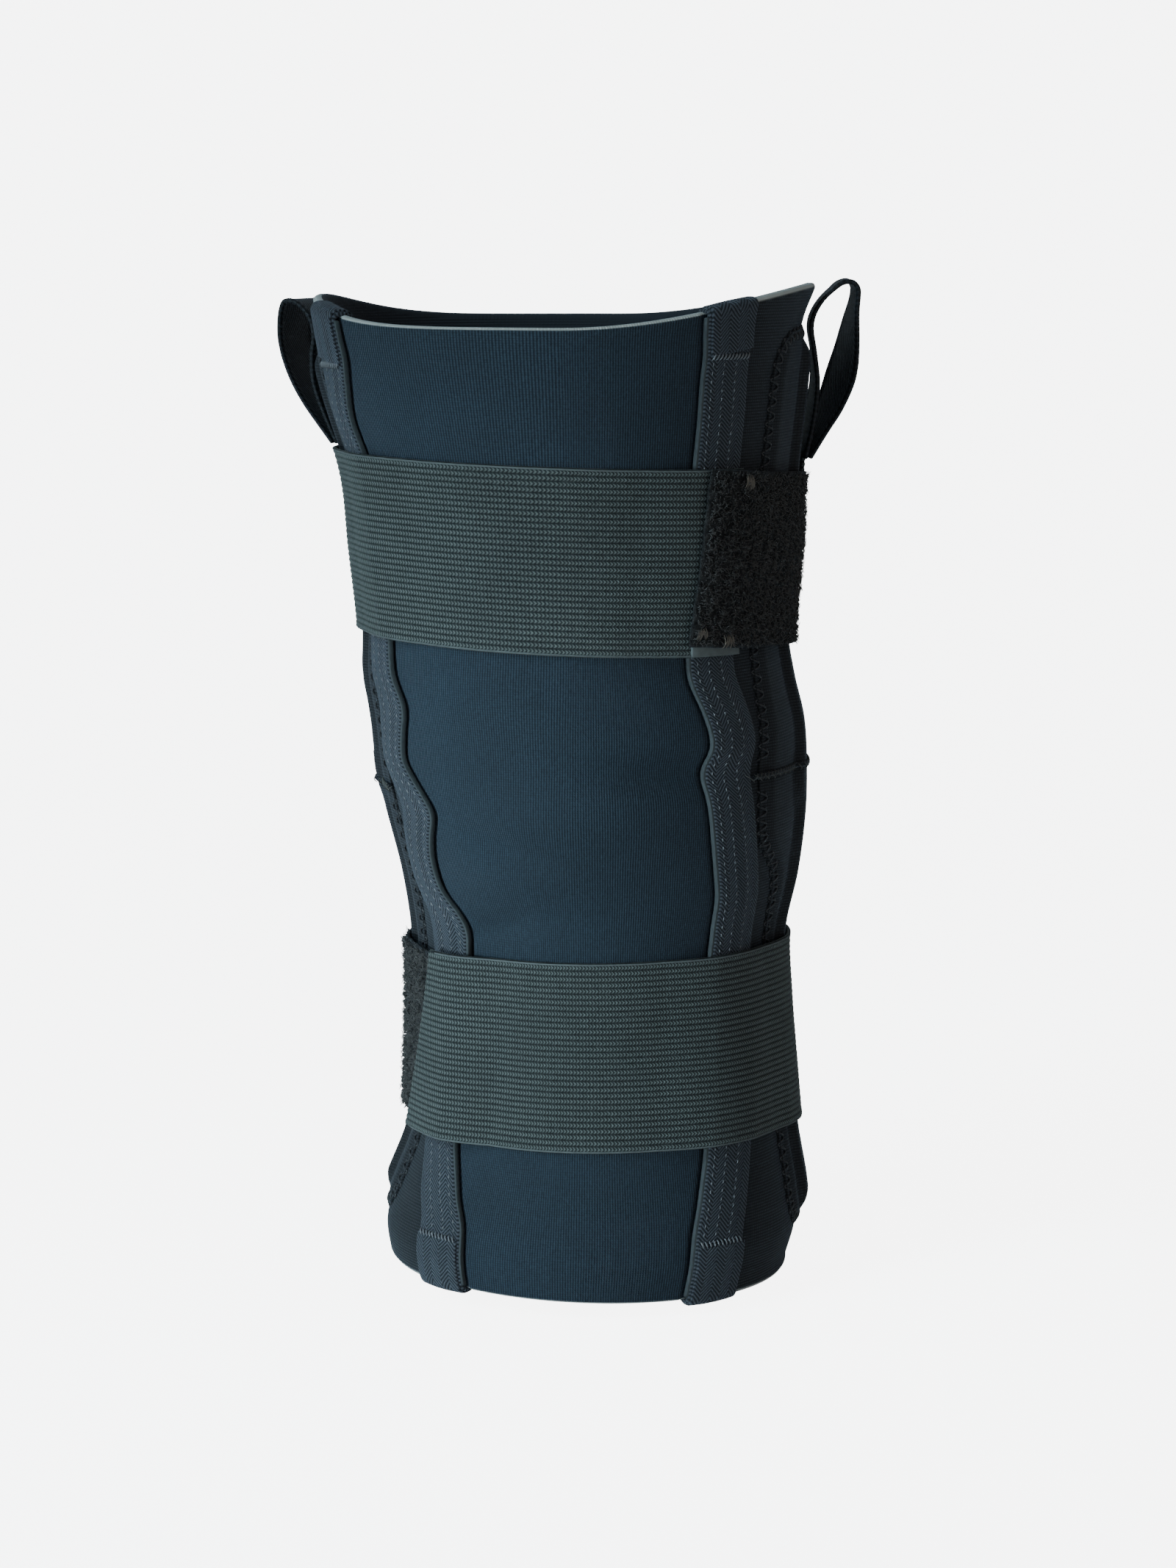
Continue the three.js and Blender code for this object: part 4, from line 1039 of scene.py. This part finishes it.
def tape_flap(side, end, name):
    """Second ply of a tape on the outside, from over the hem down to its tack row."""
    path, normal = tape_path(side)
    hem = float(top_hem(seam(side, 1.0))) if end > 0 else -float(bottom_hem(seam(side, -1.0)))
    outside = (path[:, 1] > 0) | (end * (path[:, 0] - hem) > -0.5)
    near = outside & (end * (hem - path[:, 0]) < TACK[side, end])
    path, normal = path[near], normal[near]
    across = np.linspace(-TAPE_WIDTH / 2 + 0.6, TAPE_WIDTH / 2 - 0.4, 19)[None] + 0.5 * side
    angle = on_tape(side, path, across)
    top = top_hem(seam(side, 1.0))
    slope = np.maximum(path[:, :1], 0) / top * (top_hem(angle) - top)
    crown = TAPE_THICK / 2 - 0.25 + 0.25 * np.cos(np.pi * across / TAPE_WIDTH)
    lifts = [crown + 0.75, crown - 0.1]
    faces = [skin(angle, path[:, :1] + slope + normal[:, :1] * half, path[:, 1:] + normal[:, 1:] * half)
             for half in lifts]
    length = np.concatenate([[0], np.cumsum(np.linalg.norm(np.diff(path, axis=0), axis=1))])[:, None]
    points, quads, cloth = slab(*faces, across + 9, length, edge="round")
    piece(name, points, quads, tape_cloth, "tape", cloth)


for side, word in ((-1, "left"), (1, "right")):
    tape_flap(side, 1, f"tape_flap_{word}_top")
    tape_flap(side, -1, f"tape_flap_{word}_bottom")

# %% [markdown]
# A pocket is sewn round its edge with a wide zigzag, which pulls the cloth into puckers between
# its threads. A bump texture would show no outline, so both are laid as tubes. The line is the
# pocket's border, in mm round and up from the bar's middle, moved inward.

# %% Pocket seams
def border(side, upper, inset):
    """Even points along a pocket's sewn border and their inward normals, in flat mm."""
    t = np.linspace(0, 1, 160)
    along = np.concatenate([0.03 + 0.97 * t, np.ones(60), (0.03 + 0.97 * t)[::-1]])
    across = np.concatenate([0 * t, np.linspace(0, 1, 60), 0 * t + 1])
    angle, z = pocket_place(side, upper, along, across)
    scale = degrees_for(1.0, side * HINGE_ANGLE, z)
    flat = np.stack([(side * angle - HINGE_ANGLE) / scale, z], -1)
    gaps = np.linalg.norm(np.diff(flat, axis=0), axis=1)
    length = np.concatenate([[0], np.cumsum(gaps)])
    keep = np.concatenate([[True], gaps > 1e-6])
    even = np.arange(0, length[-1], 2.35)
    line = np.stack([np.interp(even, length[keep], flat[keep, k]) for k in (0, 1)], -1)
    run = np.gradient(line, axis=0)
    run /= np.linalg.norm(run, axis=1, keepdims=True)
    inward = np.stack([run[:, 1], -run[:, 0]], -1) * (1 if upper else -1)
    return line + inward * inset, inward


def unflat(side, flat):
    """Angle and height of flat places, given in mm round and up from the bar's middle."""
    scale = degrees_for(1.0, side * HINGE_ANGLE, flat[..., 1])
    return side * (HINGE_ANGLE + flat[..., 0] * scale), flat[..., 1]


def zigzag(side, upper, name):
    """Threads across the border in turn, and a ridge of puckered cloth between each two."""
    line, inward = border(side, upper, 1.0)
    way = np.where(np.arange(len(line)) % 2, 1.0, -1.0)[:, None]
    ends = line + inward * way * 2.2
    t = np.linspace(0, 1, 7)[None, :, None]
    path = ends[:-1, None] * (1 - t) + ends[1:, None] * t
    depth = 1.0 + 2.2 * (way[:-1, None] * (1 - t) + way[1:, None] * t)[..., 0]
    angle, z = unflat(side, path)
    lift = smooth((depth + 0.5) / 2.5) * (PRESSED + 0.25) + 0.28 * np.sin(np.pi * t[..., 0]) + 0.1
    piece(name, *on_skin(angle, z, lift, 0.38), thread_black, "pocket_cloth")
    middle = (line[:-1] + line[1:]) / 2
    ridge = middle[:, None] + inward[:-1, None] * np.linspace(-1.9, 1.9, 7)[None, :, None]
    angle, z = unflat(side, ridge)
    depth = 1.0 + np.linspace(-1.9, 1.9, 7)[None] * np.ones((len(middle), 1))
    lift = smooth((depth + 0.5) / 2.5) * (PRESSED + 0.25) - 0.15
    points, faces = on_skin(angle, z, lift, 0.62, 8)
    cloth = np.column_stack([points[:, 0], points[:, 2], np.zeros(len(points))])
    piece(f"{name}_pucker", points, faces, pocket_cloth, "pocket_cloth", cloth)


for side, word in ((-1, "left"), (1, "right")):
    for upper, half in ((True, "upper"), (False, "lower")):
        zigzag(side, upper, f"zigzag_{word}_{half}")


# %% [markdown]
# At the knee the two halves of a pocket meet in a slit, whose rolled edge is overlocked.

# %% Slit edges
def slit_threads(side, name):
    """Overlock along the slit: a rolled edge with slanted threads round it, crossed by long ones."""
    front = side * tape_edge(side, 0.03, 1)
    back = side * pocket_edge(side, 0.03, 1)
    angle = side * np.linspace(front + 1, back - 1, 40)
    z = SLIT[side] + 0 * angle
    lift = pocket_lift(side, False, angle, z - 1) + POCKET_WALL + 0.1
    step = side * 1.6
    roll = on_skin(angle[None], z[None], lift[None] + 0.1, 0.75, 8)
    piece(f"{name}_roll", *roll, pocket_cloth, "pocket_cloth",
          np.column_stack([roll[0][:, 2], roll[0][:, 1], np.zeros(len(roll[0]))]))
    x, y, stand = angle[::2], z[::2], lift[::2]
    part = [stitches(angle, z - 1.1, angle + step, z + 1.1, lift + 0.3, 0.2, 0.4),
            stitches(x, y - 1.6, x - 2 * step, y + 0.9, stand + 0.4, 0.17, 0.4)]
    piece(name, *together(part), thread_brown, "pocket_cloth")


slit_threads(-1, "slit_threads_left")
slit_threads(1, "slit_threads_right")

# %% [markdown]
# The elastic's sewn end is tacked at its corners with fanned brown threads, through the pad. Each
# fan is a few threads whose lean and length differ a little, as hand-guided tacks do.

# %% Bar tacks
def bar_tack(angle, z, width, tall, count, seed):
    """Fanned threads about a place on the upper pad, each leaning by its own small turn."""
    rng = np.random.default_rng(seed)
    x = np.linspace(-width / 2, width / 2, count)
    scale = degrees_for(1.0, angle, z)
    lean = x * 0.25 + rng.normal(0, 0.3, count)
    high = z + tall * (0.5 + rng.uniform(-0.12, 0.12, count))
    low = z - tall * (0.5 + rng.uniform(-0.12, 0.12, count))
    stand = TAPE_TOP + 2 * GAP + STRAP_THICK + PAD_THICK + 0.55
    return stitches(angle + (x - lean) * scale, high, angle + (x + lean) * scale, low, stand, 0.2, 0.45)


piece("strap_tacks", *together([bar_tack(52.5, 100.3, 3.2, 4.6, 9, 1), bar_tack(38.5, 53.0, 3.0, 3.4, 7, 2),
                               bar_tack(47.5, 50.0, 3.4, 4.0, 8, 3)]), tack_brown, "elastic")

# %% [markdown]
# ## Pile
# The real pads are covered with short bent fibres that catch the straps. Hair particles would not
# be kept by the export, so the fibres are thin tubes with four sides, each leaning at random, on
# the same lumps as the pad beneath.

# %% Nap
def nap(name, count, seed):
    """Fibres from random places on a pad, up and then over to one side."""
    rng = np.random.default_rng(seed)
    top, width, _, first, last = BANDS[name]
    share = rng.uniform(0.0, 1.0, count)
    start = first[0] + (first[1] - first[0]) * share
    end = last[0] + (last[1] - last[0]) * share
    angle = start + (end - start) * rng.uniform(0, 1, count)
    z = top(angle) - share * width
    table = band_under(name, np.linspace(0, 1, 12))
    row = np.clip(share * 11, 0, 10.999)
    low = row.astype(int)
    column = (angle - TURN[0]) / 0.5
    at = column.astype(int)
    under = table[low, at] * (1 - row + low) + table[low + 1, at] * (row - low)
    base = skin(angle, z, under + PAD_THICK - 0.6 + 0.35 * lumps(angle * MM_PER_DEGREE, z, 5) - 0.2)
    up = outward(angle, z)
    level = np.cross([0, 0, 1.0], up)
    lean = rng.uniform(0, 2 * np.pi, count)
    side = level * np.cos(lean)[:, None] + np.cross(up, level) * np.sin(lean)[:, None]
    length = rng.uniform(1.0, 2.2, count)[:, None]
    middle = base + up * length * 0.55 + side * length * 0.2
    tip = middle + up * length * 0.25 + side * length * 0.55
    paths = np.stack([base, middle, tip], 1)
    points, faces = tubes(paths, np.cross(side, up)[:, None], 0.13, 4)
    piece(f"{name}_nap", points, faces, fibre, "pile")


nap("upper_pad", 9400, 11)
nap("lower_pad", 9400, 12)

# %% [markdown]
# The end of the elastic under the upper pad is hemmed, and its plain woven edge shows just below
# the pad as a thin strip.

# %% Woven edge below the pad
def pad_base():
    """Woven edge of the elastic's sewn end, where it shows below the upper pad."""
    share = np.linspace(1.0, 0.92, 5)
    angle = np.linspace(UPPER_PAD_FRONT[1] + 1, UPPER_SEWN + 0.6, 34)[None] + 0 * share[:, None]
    top, width = BANDS["upper_strap"][:2]
    z = top(angle) - share[:, None] * width
    table = band_under("upper_strap", share)
    under = np.stack([np.interp(a, TURN, row) for a, row in zip(angle, table)]) + STRAP_THICK
    points, faces, cloth = slab(skin(angle, z, under + 0.75), skin(angle, z, under + 0.05), angle, z, bevel=0.3)
    piece("upper_pad_base", points, faces, selvedge, "pile", cloth)


pad_base()

# %% [markdown]
# ## Cloth hardly stretches.


# %% [markdown]
# ## Floor, camera and lights
# The photo shows a plain white ground and the soft light of a window at the left. The camera
# stands where the photo's was, 7 degrees to the right of the front and 8.5 above. The ground
# shines only for the camera, because its full light would wash out the dark cloth.

# %% Stage
FLOOR_DROP = 0.1700  # from the frame's origin to the ground, in metres


def stage_sheet():
    """Floor that curves up into a wall behind, as one swept profile."""
    turn = np.linspace(0, np.pi / 2, 16)
    bend = np.stack([0.9 + 0.6 * np.sin(turn), 0.6 - 0.6 * np.cos(turn)], -1)
    profile = np.concatenate([[[-2.5, 0]], bend, [[1.5, 3.0]]])
    points = [[x, y, z - FLOOR_DROP] for y, z in profile.tolist() for x in (-3.0, 3.0)]
    mesh = bpy.data.meshes.new("ground")
    mesh.from_pydata(points, [], grid_faces(len(profile), 2).tolist())
    mesh.polygons.foreach_set("use_smooth", np.ones(len(mesh.polygons), bool))
    obj = bpy.data.objects.new("ground", mesh)
    bpy.context.scene.collection.objects.link(obj)
    white = plain_material("ground_white", (0.93, 0.93, 0.93), 0.9)
    shader = next(n for n in white.node_tree.nodes if n.type == "BSDF_PRINCIPLED")
    shader.inputs["Emission Color"].default_value = (1, 1, 1, 1)
    seen = add(white.node_tree, "ShaderNodeLightPath").outputs["Is Camera Ray"]
    white.node_tree.links.new(calc(white.node_tree, "MULTIPLY", seen, 6.0), shader.inputs["Emission Strength"])
    mesh.materials.append(white)


stage_sheet()

# %% [markdown]
# A window's light comes from the left and above, with a weak low one for the strap's left end. A
# broad front light and a weak warm one at the right fill the shade.

# %% Camera and lights
def aimed(obj, place, target):
    """Object at a place, its -Z toward the target and its Y up."""
    obj.location = place
    obj.rotation_euler = (Vector(target) - Vector(place)).to_track_quat("-Z", "Y").to_euler()
    bpy.context.scene.collection.objects.link(obj)
    return obj


camera_data = bpy.data.cameras.new("camera")
camera_data.sensor_width = 36.0
camera_data.lens = 86.07
camera = aimed(bpy.data.objects.new("camera", camera_data), (0.14966, -1.22705, 0.18076),
               (-0.001, 0, -0.004))
bpy.context.scene.camera = camera


def area_light(name, place, target, size, power, colour):
    data = bpy.data.lights.new(name, "AREA")
    data.shape = "RECTANGLE"
    data.size, data.size_y = size
    data.energy = power
    data.color = colour
    return aimed(bpy.data.objects.new(name, data), place, target)


area_light("window", (-1.10, -1.10, 1.10), (0, 0, 0), (0.8, 0.8), 27, (0.60, 0.86, 1.0))
low_window = area_light("low_window", (-0.85, -1.05, 0.0), (0, 0, -0.055),
                        (0.3, 0.2), 0.6, (0.70, 0.90, 1.0))
low_window.data.spread = np.radians(24)
area_light("front", (0.1, -2.2, 0.6), (0, 0, 0), (1.2, 1.0), 5, (0.85, 0.95, 1.0))
area_light("right", (1.40, -0.90, 0.22), (0, 0, 0), (0.7, 0.6), 3.6, (1.0, 0.95, 0.90))
world = bpy.data.worlds.new("world")
world.use_nodes = True
world.node_tree.nodes["Background"].inputs["Color"].default_value = (1, 1, 1, 1)
world.node_tree.nodes["Background"].inputs["Strength"].default_value = 0.16
bpy.context.scene.world = world
print("lens", camera_data.lens, "at", [round(x, 3) for x in camera.location])
